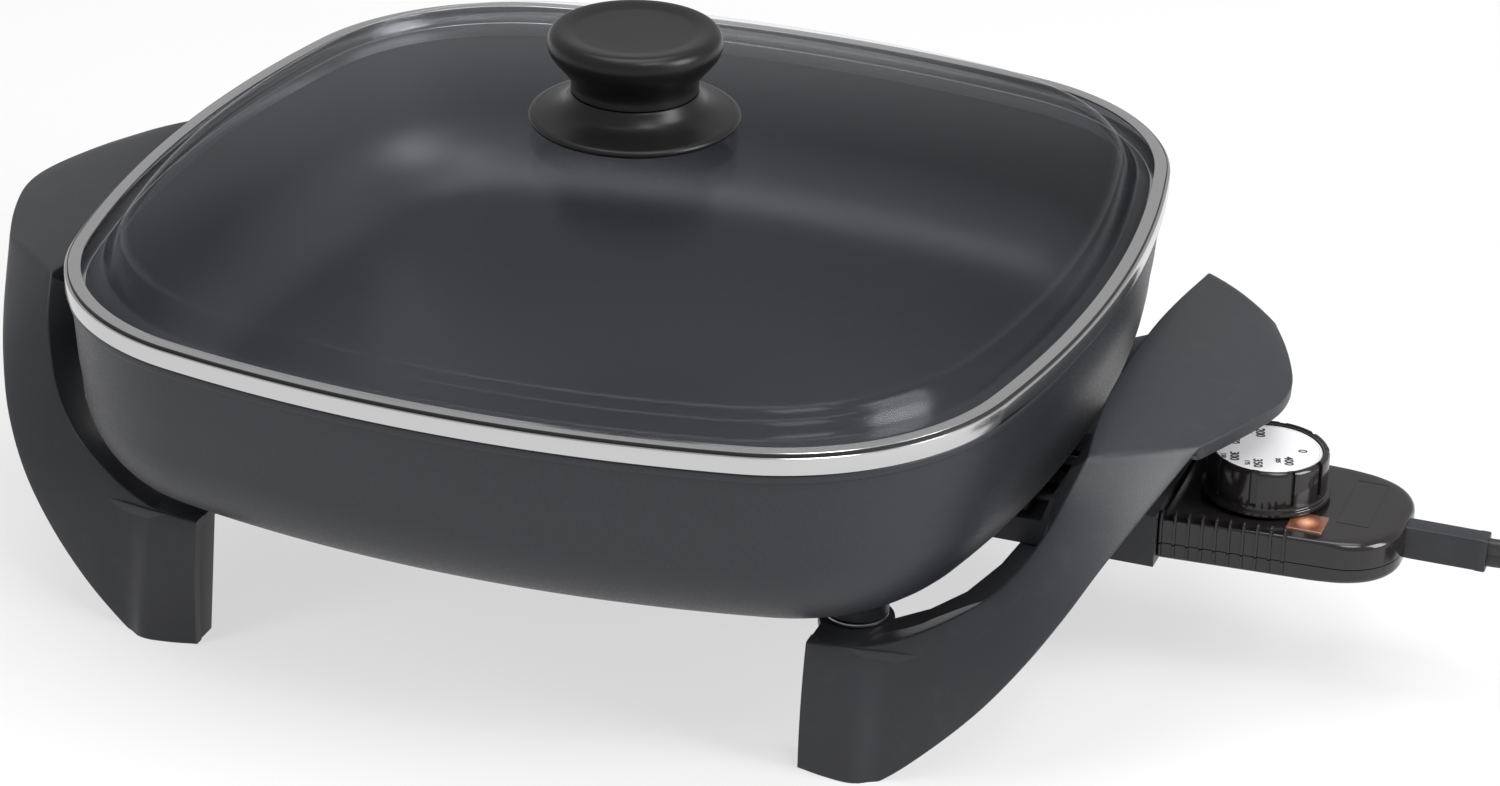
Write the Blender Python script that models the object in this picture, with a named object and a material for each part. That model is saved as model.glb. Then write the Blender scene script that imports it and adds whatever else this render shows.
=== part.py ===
"""Electric skillet: square non-stick pan on two arched side handles, a domed glass lid that lifts off,
and a plug-in heat control with a dial and a short flat cord.

Metres, +Z up. The pan's centre line stands at X = Y = 0 of the pan frame, the feet stand at Z = 0,
-Y is the front and the heat control leaves the pan towards +X. The whole pan frame is shifted along X so
that the origin lies under the middle of the object, cord left out."""

import math

import bmesh
import bpy
from mathutils import Vector

# Running and fitting gaps
GAP = 0.0003
OVERRUN = 0.002

# Pan: a rounded square drawn with four wide side arcs and four corner arcs
PAN_HALF = 0.1544
SIDE_BOW_RADIUS = 0.4168
CORNER_RADIUS = 0.0771
PAN_DEPTH = 0.0582
WALL_DRAFT_SHARE = 0.125
CORNER_TUCK_SHARE = 1.65
BASE_BEND = 0.030
PAN_WALL = 0.0035
PAN_FLOOR = 0.005
RIM_BEAD = 0.0009
RIM_BEAD_HEIGHT = 0.0026

# Posts under the pan that stand on the handle flanges
POST_RADIUS = 0.0094
POST_LENGTH = 0.0089
POST_EDGE_IN = 0.0499
POST_SIDE_IN = 0.0654
POST_WASHER = 0.001
HANDLE_SCREW_RADIUS = 0.0024
SCREW_CLEARANCE = 0.0005
HANDLE_SCREW_BITE = 0.0065
HANDLE_SCREW_HEAD_RADIUS = 0.0045
HANDLE_SCREW_HEAD = 0.003

# Handles: a skin that rises from each foot and turns flat to make the grip, on a flange under the pan
FLANGE_TOP = 0.040
FLANGE_THICK = 0.0035
FLANGE_LOBE = 0.0112
GRIP_REACH = 0.0526
GRIP_TOP = 0.092
FOOT_BEYOND_POST = 0.0275
SKIN = 0.0036
SKIN_EDGE = 0.0019
SKIN_CROWN = 0.0012
RIB = 0.0028
RIB_DEPTH = 0.0165
END_WALL = 0.0034
END_WALL_DEPTH = 0.0115
END_WALL_TOP_DEPTH = 0.0135
END_WALL_INSET = 0.0004

# Heating element and its pins, with the sheath for the probe beside them
ELEMENT_RADIUS = 0.0034
ELEMENT_DROP = 0.0036
ELEMENT_EDGE_IN = 0.0704
ELEMENT_BEND = 0.020
ELEMENT_END_BEND = 0.014
ELEMENT_END_BACK = 0.0304
RIDGE_HALF_WIDTH = 0.0055
RIDGE_DROP = 0.005
PIN_SPREAD = 0.013
PIN_RADIUS = 0.0022
PIN_REACH = 0.0195
BUSHING_RADIUS = 0.0034
BUSHING_LENGTH = 0.0045
SHEATH_HALF_WIDTH = 0.0052
SHEATH_WALL = 0.0013
SHEATH_BACK = 0.071

# Terminal guard: the open-ended box that the heat control plugs into
GUARD_HALF = 0.0305
GUARD_HEIGHT = 0.0169
GUARD_INNER_BACK = 0.0274
GUARD_STEP_BACK = 0.0124
GUARD_OUT = 0.0226
GUARD_STEP_HEIGHT = 0.0085
GUARD_WALL = 0.0027
GUARD_FLOOR = 0.0022
GUARD_MIDDLE_HALF = 0.0175
GUARD_SCREW_BACK = 0.0199
GUARD_SCREW_SPREAD = 0.024
GUARD_BOSS_RADIUS = 0.0033
GUARD_SCREW_RADIUS = 0.0014
GUARD_SCREW_HEAD_RADIUS = 0.0028
GUARD_SCREW_HEAD = 0.0017
GUARD_SCREW_BITE = 0.005

# Lid
LID_OVERHANG = 0.0006
BAND_HEIGHT = 0.0064
BAND_SHEET = 0.0008
BAND_TOP_LIP = 0.005
BAND_LOW_LIP = 0.0062
BAND_SKIRT = 0.004
GLASS_THICK = 0.004
GLASS_SEAT = 0.0075
SHOULDER_WIDTH = 0.006
SHOULDER_RISE = 0.0078
DOME_RISE = 0.0193
LID_HOLE = 0.0042
GASKET_RADIUS = 0.0125
GASKET_THICK = 0.001

# Knob, its guard disc and its screw
KNOB_RADIUS = 0.0264
KNOB_HEIGHT = 0.0192
DISC_RADIUS = 0.0323
DISC_HEIGHT = 0.0102
DISC_RIM = 0.0022
NECK_RADIUS = 0.0195
DISC_HUB = 0.009
KNOB_SCREW_RADIUS = 0.0024
KNOB_SCREW_HEAD_RADIUS = 0.0052
KNOB_SCREW_HEAD = 0.0026
KNOB_SCREW_BITE = 0.0075
INSERT_RADIUS = 0.0042
INSERT_LENGTH = 0.009
LID_WASHER_RADIUS = 0.0095
LID_WASHER = 0.0012

# Heat control housing, seen from above a tapering body with a rounded outer end
CONTROL_BACK = 0.0229
CONTROL_LENGTH = 0.0687
CONTROL_HALF = 0.0276
CONTROL_END_HALF = 0.0246
CONTROL_CORNER = 0.018
CONTROL_WALL = 0.0022
CONTROL_SHEET = 0.0015
CONTROL_BELOW = 0.0047
TOP_SHELL_HEIGHT = 0.0081
LOW_SHELL_HEIGHT = 0.0050
SHELL_EDGE = 0.0007
SEAM = 0.0003
FIN_COUNT = 9
FIN_PITCH = 0.00406
FIN_START = 0.0047
FIN_THICK = 0.0008
FIN_PROUD = 0.0008
SHELL_BOSS = 0.0032
SHELL_SCREW_RADIUS = 0.0013
SHELL_SCREW_HEAD_RADIUS = 0.0026
SHELL_SCREW_HEAD = 0.0014
SHELL_SCREW_BITE = 0.0035
FRONT_SCREW_IN = 0.0115
FRONT_SCREW_SPREAD = 0.0175
REAR_SCREW_IN = 0.0095
REAR_SCREW_SPREAD = 0.0138

# Nose that enters the guard, with the sockets and the probe
NOSE_HALF = 0.0195
NOSE_OUT = 0.0173
NOSE_FLANGE = 0.0035
NOSE_EAR = 0.0015
NOSE_BELOW = 0.004
NOSE_ABOVE = 0.0068
SOCKET_WALL = 0.0005
SOCKET_LENGTH = 0.018
PROBE_RADIUS = 0.003
PROBE_STEM_RADIUS = 0.0015
PROBE_TIP_GAP = 0.0008
PROBE_CLEARANCE = 0.0005

# Thermostat inside the housing
FRAME_THICK = 0.0012
FRAME_HALF = 0.008
FRAME_LENGTH = 0.044
FRAME_TAB_RISE = 0.0075
STACK_HALF = 0.004
STACK_LENGTH = 0.007
BLOCK_THICK = 0.0014
BLADE_THICK = 0.0004
BLADE_HALF = 0.0024
BLADE_LENGTH = 0.034
RIVET_RADIUS = 0.0011
RIVET_HEAD_RADIUS = 0.0021
RIVET_HEAD = 0.0008
CONTACT_RADIUS = 0.0015
CONTACT_INSET = 0.002

# Dial
DIAL_IN = 0.0251
DIAL_RADIUS = 0.0181
SKIRT_RADIUS = 0.0192
SKIRT_HEIGHT = 0.0016
DIAL_HEIGHT = 0.0143
DIAL_LIFT = 0.001
DIAL_GROOVES = 10
GROOVE_RADIUS = 0.0012
PLATE_RADIUS = 0.0159
PLATE_THICK = 0.0006
PLATE_RECESS = 0.0010
SHAFT_RADIUS = 0.0026
SHAFT_BITE = 0.0105
SHAFT_CLEARANCE = 0.0005

# Signal lamp and lens
LENS_IN = 0.0414
LENS_ALONG = -0.015
LENS_HALF = 0.0055
LENS_PROUD = 0.0006
LENS_LIP = 0.0009
LENS_LIP_THICK = 0.0011
LAMP_RADIUS = 0.0022

# Strain relief and flat cord
RELIEF_HALF = 0.0036
RELIEF_ABOVE = 0.0073
RELIEF_BELOW = 0.0032
RELIEF_OUT = 0.024
RELIEF_COLLAR = 0.002
RELIEF_COLLAR_THICK = 0.0022
CORD_WIDTH = 0.0086
CORD_THICK = 0.0048

# Route of the cord from the relief's end to the coil, measured from the relief's end on the table
CORD_ROUTE = (
    (0.000, 0.000, 0.0490),
    (0.010, 0.000, 0.0488),
    (0.022, 0.000, 0.0440),
    (0.034, 0.000, 0.0325),
    (0.046, 0.000, 0.0190),
    (0.058, 0.000, 0.0098),
    (0.068, 0.000, 0.0060),
    (0.078, 0.000, 0.0053),
    (0.088, 0.000, 0.0053),
)
# The plug's end of the cord, from the coil's end, which heads towards +Y
LEAD_ROUTE = (
    (0.000, 0.000, 0.0144),
    (0.000, 0.009, 0.0144),
    (0.000, 0.020, 0.0128),
    (0.000, 0.032, 0.0096),
    (0.000, 0.041, 0.0088),
    (0.000, 0.050, 0.0088),
)
COIL_RADIUS = 0.046
COIL_PITCH = 0.0054
COIL_LAYER = 0.0091
COIL_LIFT = 0.0010
COIL_TURNS_IN = 0.875
COIL_TURNS_CLIMB = 0.5
COIL_TURNS_OUT = 0.875
COIL_STEPS = 24
TIE_ANGLE = 135
TIE_HALF = 0.004
TIE_THICK = 0.0005
TIE_ROOM = 0.0006
PLUG_LENGTH = 0.030
PLUG_HALF_WIDTH = 0.0125
PLUG_HALF_HEIGHT = 0.0085
PLUG_EDGE = 0.003
PLUG_SHOULDER_SHARE = 0.2
BLADE_SPREAD = 0.00635
PLUG_BLADE_HALF = 0.0032
PLUG_BLADE_THICK = 0.0008
PLUG_BLADE_OUT = 0.0165
PLUG_BLADE_IN = 0.006

# Facets
SIDE_STEPS = 4
CORNER_STEPS = 6
BEND_STEPS = 4
PATH_BEND_STEPS = 3
DOME_STEPS = 4
WIDE_CIRCLE_STEPS = 32
CIRCLE_STEPS = 20
SMALL_CIRCLE_STEPS = 10
RIVET_STEPS = 8
DENSE_STEPS = 12
SMOOTH_ANGLE = math.radians(32)

# Heights and places that follow
PAN_BASE = FLANGE_TOP + GAP + POST_WASHER + GAP + POST_LENGTH
PAN_RIM = PAN_BASE + PAN_DEPTH
POST_OUT = PAN_HALF - POST_EDGE_IN
POST_ALONG = PAN_HALF - POST_SIDE_IN
FOOT_SPREAD = POST_ALONG + FOOT_BEYOND_POST
ELEMENT_HALF = PAN_HALF - ELEMENT_EDGE_IN
LID_HALF = PAN_HALF + LID_OVERHANG
LID_SEAT = PAN_RIM + GAP
AXIS_Z = PAN_BASE - ELEMENT_DROP
GUARD_BASE = FLANGE_TOP + GAP
GUARD_END = PAN_HALF + GUARD_OUT
CONTROL_START = PAN_HALF + CONTROL_BACK
CONTROL_END = CONTROL_START + CONTROL_LENGTH
LOW_SHELL_BASE = AXIS_Z - CONTROL_BELOW
SEAM_Z = LOW_SHELL_BASE + LOW_SHELL_HEIGHT
TOP_SHELL_BASE = SEAM_Z + SEAM
CONTROL_TOP = TOP_SHELL_BASE + TOP_SHELL_HEIGHT
CONTROL_FLOOR = LOW_SHELL_BASE + CONTROL_SHEET
CONTROL_CEILING = CONTROL_TOP - CONTROL_SHEET
DIAL_X = CONTROL_START + DIAL_IN
DIAL_BASE = CONTROL_TOP + DIAL_LIFT
RELIEF_END = CONTROL_END + RELIEF_OUT
GRIP_OUTER = PAN_HALF + GRIP_REACH
ORIGIN_SHIFT = -(CONTROL_END + RELIEF_OUT - GRIP_OUTER) / 2


# Materials


def material(name, colour, roughness, metallic=0.0, alpha=1.0):
    """A plain Principled finish; colour is linear red, green and blue."""
    made = bpy.data.materials.new(name)
    made.use_nodes = True
    shader = made.node_tree.nodes["Principled BSDF"]
    shader.inputs["Base Color"].default_value = (*colour, 1.0)
    shader.inputs["Roughness"].default_value = roughness
    shader.inputs["Metallic"].default_value = metallic
    shader.inputs["Alpha"].default_value = alpha
    made.diffuse_color = (*colour, alpha)
    return made


def make_materials():
    return {
        "coated_aluminium": material("coated_aluminium", (0.045, 0.048, 0.054), 0.45, 0.2),
        "matte_phenolic": material("matte_phenolic", (0.046, 0.047, 0.050), 0.42),
        "gloss_phenolic": material("gloss_phenolic", (0.012, 0.011, 0.012), 0.16),
        "knob_phenolic": material("knob_phenolic", (0.022, 0.021, 0.021), 0.30),
        "polished_steel": material("polished_steel", (0.62, 0.62, 0.62), 0.15, 1.0),
        "zinc_steel": material("zinc_steel", (0.45, 0.45, 0.44), 0.35, 1.0),
        "sheath_steel": material("sheath_steel", (0.30, 0.29, 0.27), 0.42, 1.0),
        "brass": material("brass", (0.60, 0.42, 0.15), 0.30, 1.0),
        "ceramic": material("ceramic", (0.72, 0.70, 0.65), 0.55),
        "clear_glass": material("clear_glass", (0.85, 0.88, 0.88), 0.03, 0.0, 0.3),
        "silicone": material("silicone", (0.20, 0.20, 0.20), 0.6),
        "silver_plate": material("silver_plate", (0.72, 0.72, 0.74), 0.35),
        "amber_lens": material("amber_lens", (0.70, 0.22, 0.08), 0.12, 0.0, 0.8),
        "lamp_glass": material("lamp_glass", (0.85, 0.55, 0.35), 0.1, 0.0, 0.6),
        "cord_vinyl": material("cord_vinyl", (0.020, 0.020, 0.021), 0.45),
    }


# Placing and combining


def empty(name, place, parent=None):
    made = bpy.data.objects.new(name, None)
    bpy.context.scene.collection.objects.link(made)
    made.location = place
    made.parent = parent
    return made


def build(name, shape, finish, parent, smooth=True):
    """One object from a shape, which is a list of corners and a list of faces; faces are turned outwards."""
    mesh = bpy.data.meshes.new(name)
    work = bmesh.new()
    corners = [work.verts.new(corner) for corner in shape[0]]
    for face in shape[1]:
        work.faces.new([corners[index] for index in face])
    bmesh.ops.recalc_face_normals(work, faces=work.faces)
    work.to_mesh(mesh)
    work.free()
    if smooth:
        mesh.shade_smooth()
        mesh.set_sharp_from_angle(angle=SMOOTH_ANGLE)
    mesh.materials.append(finish)
    made = bpy.data.objects.new(name, mesh)
    bpy.context.scene.collection.objects.link(made)
    made.parent = parent
    return made


def build_each(name, shapes, finish, parent, smooth=True):
    """Copies of one piece, each an object of its own."""
    for index, shape in enumerate(shapes):
        build(f"{name}_{index + 1}", shape, finish, parent, smooth)


def helper(name, shape, parent):
    """A cutter or a joined-on form, kept out of the part itself."""
    made = build(name, shape, HELPER_FINISH, parent, smooth=False)
    made.hide_render = True
    made.display_type = "WIRE"
    return made


def boolean(target, other, operation):
    change = target.modifiers.new(other.name, "BOOLEAN")
    change.operation = operation
    change.object = other
    change.solver = "EXACT"


def cut(target, name, shape):
    boolean(target, helper(name, shape, target.parent), "DIFFERENCE")


def join(target, name, shape):
    boolean(target, helper(name, shape, target.parent), "UNION")


def together(*shapes):
    """Several shapes as one, each still its own body."""
    corners = []
    faces = []
    for shape in shapes:
        start = len(corners)
        corners += shape[0]
        faces += [tuple(index + start for index in face) for face in shape[1]]
    return corners, faces


def moved(shape, offset):
    return [Vector(corner) + Vector(offset) for corner in shape[0]], shape[1]


def reflected(shape, along_x=1, along_y=1):
    return [Vector((c[0] * along_x, c[1] * along_y, c[2])) for c in shape[0]], shape[1]


# Shapes


def loft(rings, closed=False):
    """Skin over rings of equal count, with flat ends, or joined end to end where closed is set."""
    count = len(rings[0])
    corners = [corner for ring in rings for corner in ring]
    faces = []
    spans = len(rings) if closed else len(rings) - 1
    for step in range(spans):
        low = step * count
        high = (step + 1) % len(rings) * count
        for index in range(count):
            after = (index + 1) % count
            faces.append((low + index, low + after, high + after, high + index))
    if not closed:
        faces.append(tuple(reversed(range(count))))
        faces.append(tuple(range((len(rings) - 1) * count, len(rings) * count)))
    return corners, faces


def block(low, high):
    corners = ((low[0], low[1]), (high[0], low[1]), (high[0], high[1]), (low[0], high[1]))
    return prism(corners, low[2], high[2])


def prism(outline, low, high):
    """An outline of (x, y) points carried from one height to another."""
    return loft([[Vector((x, y, z)) for x, y in outline] for z in (low, high)])


def side_prism(outline, low, high):
    """An outline of (x, z) points carried along Y."""
    return loft([[Vector((x, y, z)) for x, z in outline] for y in (low, high)])


def turned(profile, place=(0, 0, 0), steps=CIRCLE_STEPS):
    """A profile of (radius, height) points carried round a vertical axis. Points on the axis close it."""
    corners = []
    rows = []
    for radius, height in profile:
        if radius <= 0:
            rows.append([len(corners)])
            corners.append(Vector((0, 0, height)) + Vector(place))
            continue
        rows.append(list(range(len(corners), len(corners) + steps)))
        for step in range(steps):
            angle = 2 * math.pi * step / steps
            corner = Vector((radius * math.cos(angle), radius * math.sin(angle), height))
            corners.append(corner + Vector(place))
    closed = profile[0][0] > 0
    faces = []
    pairs = list(zip(rows, rows[1:] + rows[:1])) if closed else list(zip(rows, rows[1:]))
    for low, high in pairs:
        for step in range(steps):
            after = (step + 1) % steps
            if len(low) == 1:
                faces.append((low[0], high[after], high[step]))
            elif len(high) == 1:
                faces.append((low[step], low[after], high[0]))
            else:
                faces.append((low[step], low[after], high[after], high[step]))
    return corners, faces


def rod(radius, low, high, place=(0, 0, 0), steps=SMALL_CIRCLE_STEPS):
    """A plain upright cylinder between two heights."""
    return turned([(0, low), (radius, low), (radius, high), (0, high)], place, steps)


def washer(inner, outer, low, high, place=(0, 0, 0), steps=SMALL_CIRCLE_STEPS):
    return turned([(inner, low), (outer, low), (outer, high), (inner, high)], place, steps)


def laid(shape):
    """Turns an upright shape so that its height runs along +X."""
    return [Vector((c[2], c[1], -c[0])) for c in shape[0]], shape[1]


def bar(radius, start, end, along, height, steps=SMALL_CIRCLE_STEPS):
    """A round bar along X."""
    return moved(laid(rod(radius, start, end, steps=steps)), (0, along, height))


def pipe(inner, outer, start, end, along, height, steps=SMALL_CIRCLE_STEPS):
    """A round tube along X."""
    return moved(laid(washer(inner, outer, start, end, steps=steps)), (0, along, height))


def arc_points(centre, radius, start, end, steps):
    """Points on a flat arc; the angles are in radians."""
    return [
        (
            centre[0] + radius * math.cos(start + (end - start) * step / steps),
            centre[1] + radius * math.sin(start + (end - start) * step / steps),
        )
        for step in range(steps + 1)
    ]


def rounded_square(half, side_radius, corner_radius, height):
    """A square ring whose sides are arcs of one radius and whose corners are arcs of another, all tangent."""
    bow = side_radius - half
    room = max(2 * (side_radius - corner_radius) ** 2 - bow * bow, 0.0)
    corner = (math.sqrt(room) - bow) / 2
    turn = math.atan2(corner, corner + bow) if corner + bow > 0 else 0.0
    quarter = arc_points((half - side_radius, 0), side_radius, -turn, turn, SIDE_STEPS)[:-1]
    quarter += arc_points((corner, corner), corner_radius, turn, math.pi / 2 - turn, CORNER_STEPS)[:-1]
    ring = []
    for side in range(4):
        angle = side * math.pi / 2
        for x, y in quarter:
            across = x * math.cos(angle) - y * math.sin(angle)
            ring.append(Vector((across, x * math.sin(angle) + y * math.cos(angle), height)))
    return ring


def pan_ring(inset, height, half=PAN_HALF, tuck=1.0):
    """The pan's outline drawn in by an inset; tuck above 1 makes its corners tighter as it goes in."""
    return rounded_square(half - inset, SIDE_BOW_RADIUS - inset, CORNER_RADIUS - tuck * inset, height)


def round_share_ring(half, height):
    """A ring of the lid: the pan's outline at the rim, and nearer a circle the smaller it is."""
    mix = 1 - half / LID_HALF
    side_share = SIDE_BOW_RADIUS / LID_HALF * (1 - mix) + mix
    corner_share = CORNER_RADIUS / LID_HALF * (1 - mix) + mix
    return rounded_square(half, side_share * half, corner_share * half, height)


def smooth_through(points, spans):
    """Points on a smooth curve through the given ones, with a number of steps between each two."""
    points = [Vector(point) for point in points]
    padded = [2 * points[0] - points[1]] + points + [2 * points[-1] - points[-2]]
    curve = []
    for index in range(1, len(padded) - 2):
        before, start, end, after = padded[index - 1 : index + 3]
        for step in range(spans):
            t = step / spans
            bend = (2 * before - 5 * start + 4 * end - after) * t * t
            twist = (3 * start - before - 3 * end + after) * t * t * t
            curve.append((2 * start + (end - before) * t + bend + twist) / 2)
    return curve + [points[-1]]


def rounded_path(corners, bends, steps):
    """A flat path with its inner corners rounded; each corner has its own bend radius."""
    path = [Vector(corners[0])]
    for index, bend in enumerate(bends):
        here = Vector(corners[index + 1])
        back = (Vector(corners[index]) - here).normalized()
        on = (Vector(corners[index + 2]) - here).normalized()
        half_turn = back.angle(on) / 2
        middle = here + (back + on).normalized() * bend / math.sin(half_turn)
        start = (here + back * bend / math.tan(half_turn) - middle).normalized()
        end = (here + on * bend / math.tan(half_turn) - middle).normalized()
        for step in range(steps + 1):
            path.append(middle + start.slerp(end, step / steps) * bend)
    path.append(Vector(corners[-1]))
    return path


def swept(path, section):
    """A section of (across, up) points carried along a level path."""
    rings = []
    for index, point in enumerate(path):
        before = path[max(index - 1, 0)]
        after = path[min(index + 1, len(path) - 1)]
        ahead = (after - before).normalized()
        side = Vector((ahead.y, -ahead.x, 0)).normalized()
        rings.append([point + side * across + Vector((0, 0, up)) for across, up in section])
    return loft(rings)


def circle_section(radius, steps):
    return [
        (radius * math.cos(2 * math.pi * step / steps), radius * math.sin(2 * math.pi * step / steps))
        for step in range(steps)
    ]


# Pan


def bend_rings(inset, height, radius, half, tuck):
    """Rings round the bend between wall and floor, from the flat floor's edge up to the wall."""
    rings = []
    for step in range(BEND_STEPS + 1):
        angle = math.pi / 2 * step / BEND_STEPS
        run = inset + radius - radius * math.sin(angle)
        rings.append(pan_ring(run, height + radius * (1 - math.cos(angle)), half, tuck))
    return rings


def pan_shell():
    """Outer skin from the base up to the rim and inner skin back down, as one open bowl."""
    foot_inset = WALL_DRAFT_SHARE * (PAN_DEPTH - BASE_BEND)
    outer = bend_rings(foot_inset, PAN_BASE, BASE_BEND, PAN_HALF, CORNER_TUCK_SHARE)
    bead_low = PAN_RIM - RIM_BEAD_HEIGHT
    bead_inset = WALL_DRAFT_SHARE * RIM_BEAD_HEIGHT + RIM_BEAD
    rim = [
        pan_ring(bead_inset, bead_low, PAN_HALF, CORNER_TUCK_SHARE),
        pan_ring(0, bead_low, PAN_HALF),
        pan_ring(0, PAN_RIM, PAN_HALF),
        pan_ring(PAN_WALL, PAN_RIM, PAN_HALF),
    ]
    inner_bend = BASE_BEND - PAN_WALL
    inner = bend_rings(foot_inset + PAN_WALL, PAN_BASE + PAN_FLOOR, inner_bend, PAN_HALF, CORNER_TUCK_SHARE)
    return loft(outer + rim + inner[::-1])


def element_path():
    """The heating loop: in from one pin, round the floor and out to the other pin."""
    start = PAN_HALF - ELEMENT_END_BACK
    corners = [
        (start, -PIN_SPREAD, AXIS_Z),
        (ELEMENT_HALF, -PIN_SPREAD, AXIS_Z),
        (ELEMENT_HALF, -ELEMENT_HALF, AXIS_Z),
        (-ELEMENT_HALF, -ELEMENT_HALF, AXIS_Z),
        (-ELEMENT_HALF, ELEMENT_HALF, AXIS_Z),
        (ELEMENT_HALF, ELEMENT_HALF, AXIS_Z),
        (ELEMENT_HALF, PIN_SPREAD, AXIS_Z),
        (start, PIN_SPREAD, AXIS_Z),
    ]
    bends = [ELEMENT_END_BEND] + [ELEMENT_BEND] * 4 + [ELEMENT_END_BEND]
    return rounded_path(corners, bends, PATH_BEND_STEPS)


def post_places():
    return [(x * POST_OUT, y * POST_ALONG) for x in (1, -1) for y in (1, -1)]


def guard_screw_places():
    return [(PAN_HALF - GUARD_SCREW_BACK, y * GUARD_SCREW_SPREAD) for y in (1, -1)]


def under_pan_forms():
    """Posts, element ridge, probe sheath and guard bosses, cast with the pan."""
    into = PAN_BASE + PAN_FLOOR / 2
    foot = PAN_BASE - POST_LENGTH
    posts = [rod(POST_RADIUS, foot, into, (x, y, 0), CIRCLE_STEPS) for x, y in post_places()]
    low = -RIDGE_DROP + PAN_BASE - AXIS_Z
    high = PAN_FLOOR / 2 + PAN_BASE - AXIS_Z
    half = RIDGE_HALF_WIDTH
    ridge = swept(element_path(), [(-half, low), (half, low), (half, high), (-half, high)])
    bore = PROBE_RADIUS + PROBE_CLEARANCE
    sheath = block(
        (PAN_HALF - SHEATH_BACK, -SHEATH_HALF_WIDTH, AXIS_Z - bore - SHEATH_WALL),
        (PAN_HALF - ELEMENT_END_BACK, SHEATH_HALF_WIDTH, into),
    )
    boss_low = GUARD_BASE + GUARD_STEP_HEIGHT + GAP
    boss_high = PAN_BASE + BASE_BEND / 4
    bosses = [rod(GUARD_BOSS_RADIUS, boss_low, boss_high, (x, y, 0)) for x, y in guard_screw_places()]
    return posts, ridge, sheath, bosses


def under_pan_cuts():
    """Groove for the element, bore for the probe and pilot holes for the screws."""
    path = element_path()
    path[0] = path[0] + Vector((OVERRUN, 0, 0))
    path[-1] = path[-1] + Vector((OVERRUN, 0, 0))
    groove = swept(path, circle_section(ELEMENT_RADIUS + GAP, SMALL_CIRCLE_STEPS))
    bore = bar(
        PROBE_RADIUS + PROBE_CLEARANCE,
        PAN_HALF - SHEATH_BACK + SHEATH_WALL,
        PAN_HALF - ELEMENT_END_BACK + OVERRUN,
        0,
        AXIS_Z,
    )
    pilots = []
    post_low = PAN_BASE - POST_LENGTH
    hole = HANDLE_SCREW_RADIUS + GAP
    for x, y in post_places():
        pilots.append(rod(hole, post_low - OVERRUN, post_low + HANDLE_SCREW_BITE + GAP, (x, y, 0)))
    boss_low = GUARD_BASE + GUARD_STEP_HEIGHT + GAP
    for x, y in guard_screw_places():
        hole = GUARD_SCREW_RADIUS + GAP
        pilots.append(rod(hole, boss_low - OVERRUN, boss_low + GUARD_SCREW_BITE + GAP, (x, y, 0)))
    return together(groove, bore, *pilots)


def make_pan(finishes, base):
    pan = build("pan", pan_shell(), finishes["coated_aluminium"], base)
    posts, ridge, sheath, bosses = under_pan_forms()
    join(pan, "pan_posts_form", together(*posts))
    join(pan, "element_ridge_form", ridge)
    join(pan, "sheath_and_boss_form", together(sheath, *bosses))
    cut(pan, "under_pan_cut", under_pan_cuts())


def make_element(finishes, base):
    tube = swept(element_path(), circle_section(ELEMENT_RADIUS, SMALL_CIRCLE_STEPS))
    build("heating_element", tube, finishes["sheath_steel"], base)
    start = PAN_HALF - ELEMENT_END_BACK + GAP
    end = PAN_HALF + PIN_REACH
    pins = [bar(PIN_RADIUS, start, end, y * PIN_SPREAD, AXIS_Z) for y in (1, -1)]
    build_each("terminal_pin", pins, finishes["zinc_steel"], base)
    bushings = [
        pipe(PIN_RADIUS + GAP, BUSHING_RADIUS, start, start + BUSHING_LENGTH, y * PIN_SPREAD, AXIS_Z)
        for y in (1, -1)
    ]
    build_each("pin_bushing", bushings, finishes["ceramic"], base)


# Handles

# Each row is one station of the skin, from the foot to the grip: the inner, upper edge's place
# outwards, along and up, then the outer, lower edge's place outwards, along and up.
# Outwards is a share of the grip's reach beyond the pan, along a share of the foot spread,
# inner height a share of the way from flange to grip, and outer height a share of the grip's height.
LEG_SHARES = (
    (-1.101, 0.948, 0.000, -1.107, 0.979, 0.000),
    (-0.949, 0.938, 0.000, -0.939, 0.996, 0.000),
    (-0.806, 0.923, 0.006, -0.778, 1.000, 0.000),
    (-0.673, 0.907, 0.038, -0.645, 0.966, 0.000),
    (-0.496, 0.887, 0.121, -0.388, 0.951, 0.130),
    (-0.321, 0.857, 0.221, -0.131, 0.918, 0.283),
    (-0.167, 0.815, 0.327, 0.078, 0.876, 0.440),
    (-0.032, 0.768, 0.481, 0.249, 0.807, 0.587),
    (0.068, 0.712, 0.654, 0.382, 0.717, 0.712),
    (0.141, 0.657, 0.837, 0.525, 0.588, 0.830),
    (0.196, 0.586, 1.000, 0.713, 0.385, 0.975),
)
GRIP_SHARES = (
    (0.196, 0.586, 1.000, 0.713, 0.385, 0.975),
    (0.137, 0.420, 1.000, 0.835, 0.266, 0.978),
    (0.099, 0.270, 1.000, 0.930, 0.155, 0.977),
    (0.082, 0.130, 1.000, 0.985, 0.070, 0.975),
    (0.076, 0.000, 1.000, 1.000, 0.000, 0.975),
)
SKIN_ACROSS = 3
# How deep the rib along the inner edge goes at each station of a leg and of half the grip
RIB_LEG_SHARES = (0.33, 0.33, 0.40, 0.65, 0.90, 1.00, 1.00, 1.00, 1.00, 0.85, 0.60)
RIB_GRIP_SHARES = (0.60, 0.48, 0.45, 0.45, 0.45)
LEG_SPANS = 2
GRIP_SPANS = 2
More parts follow.
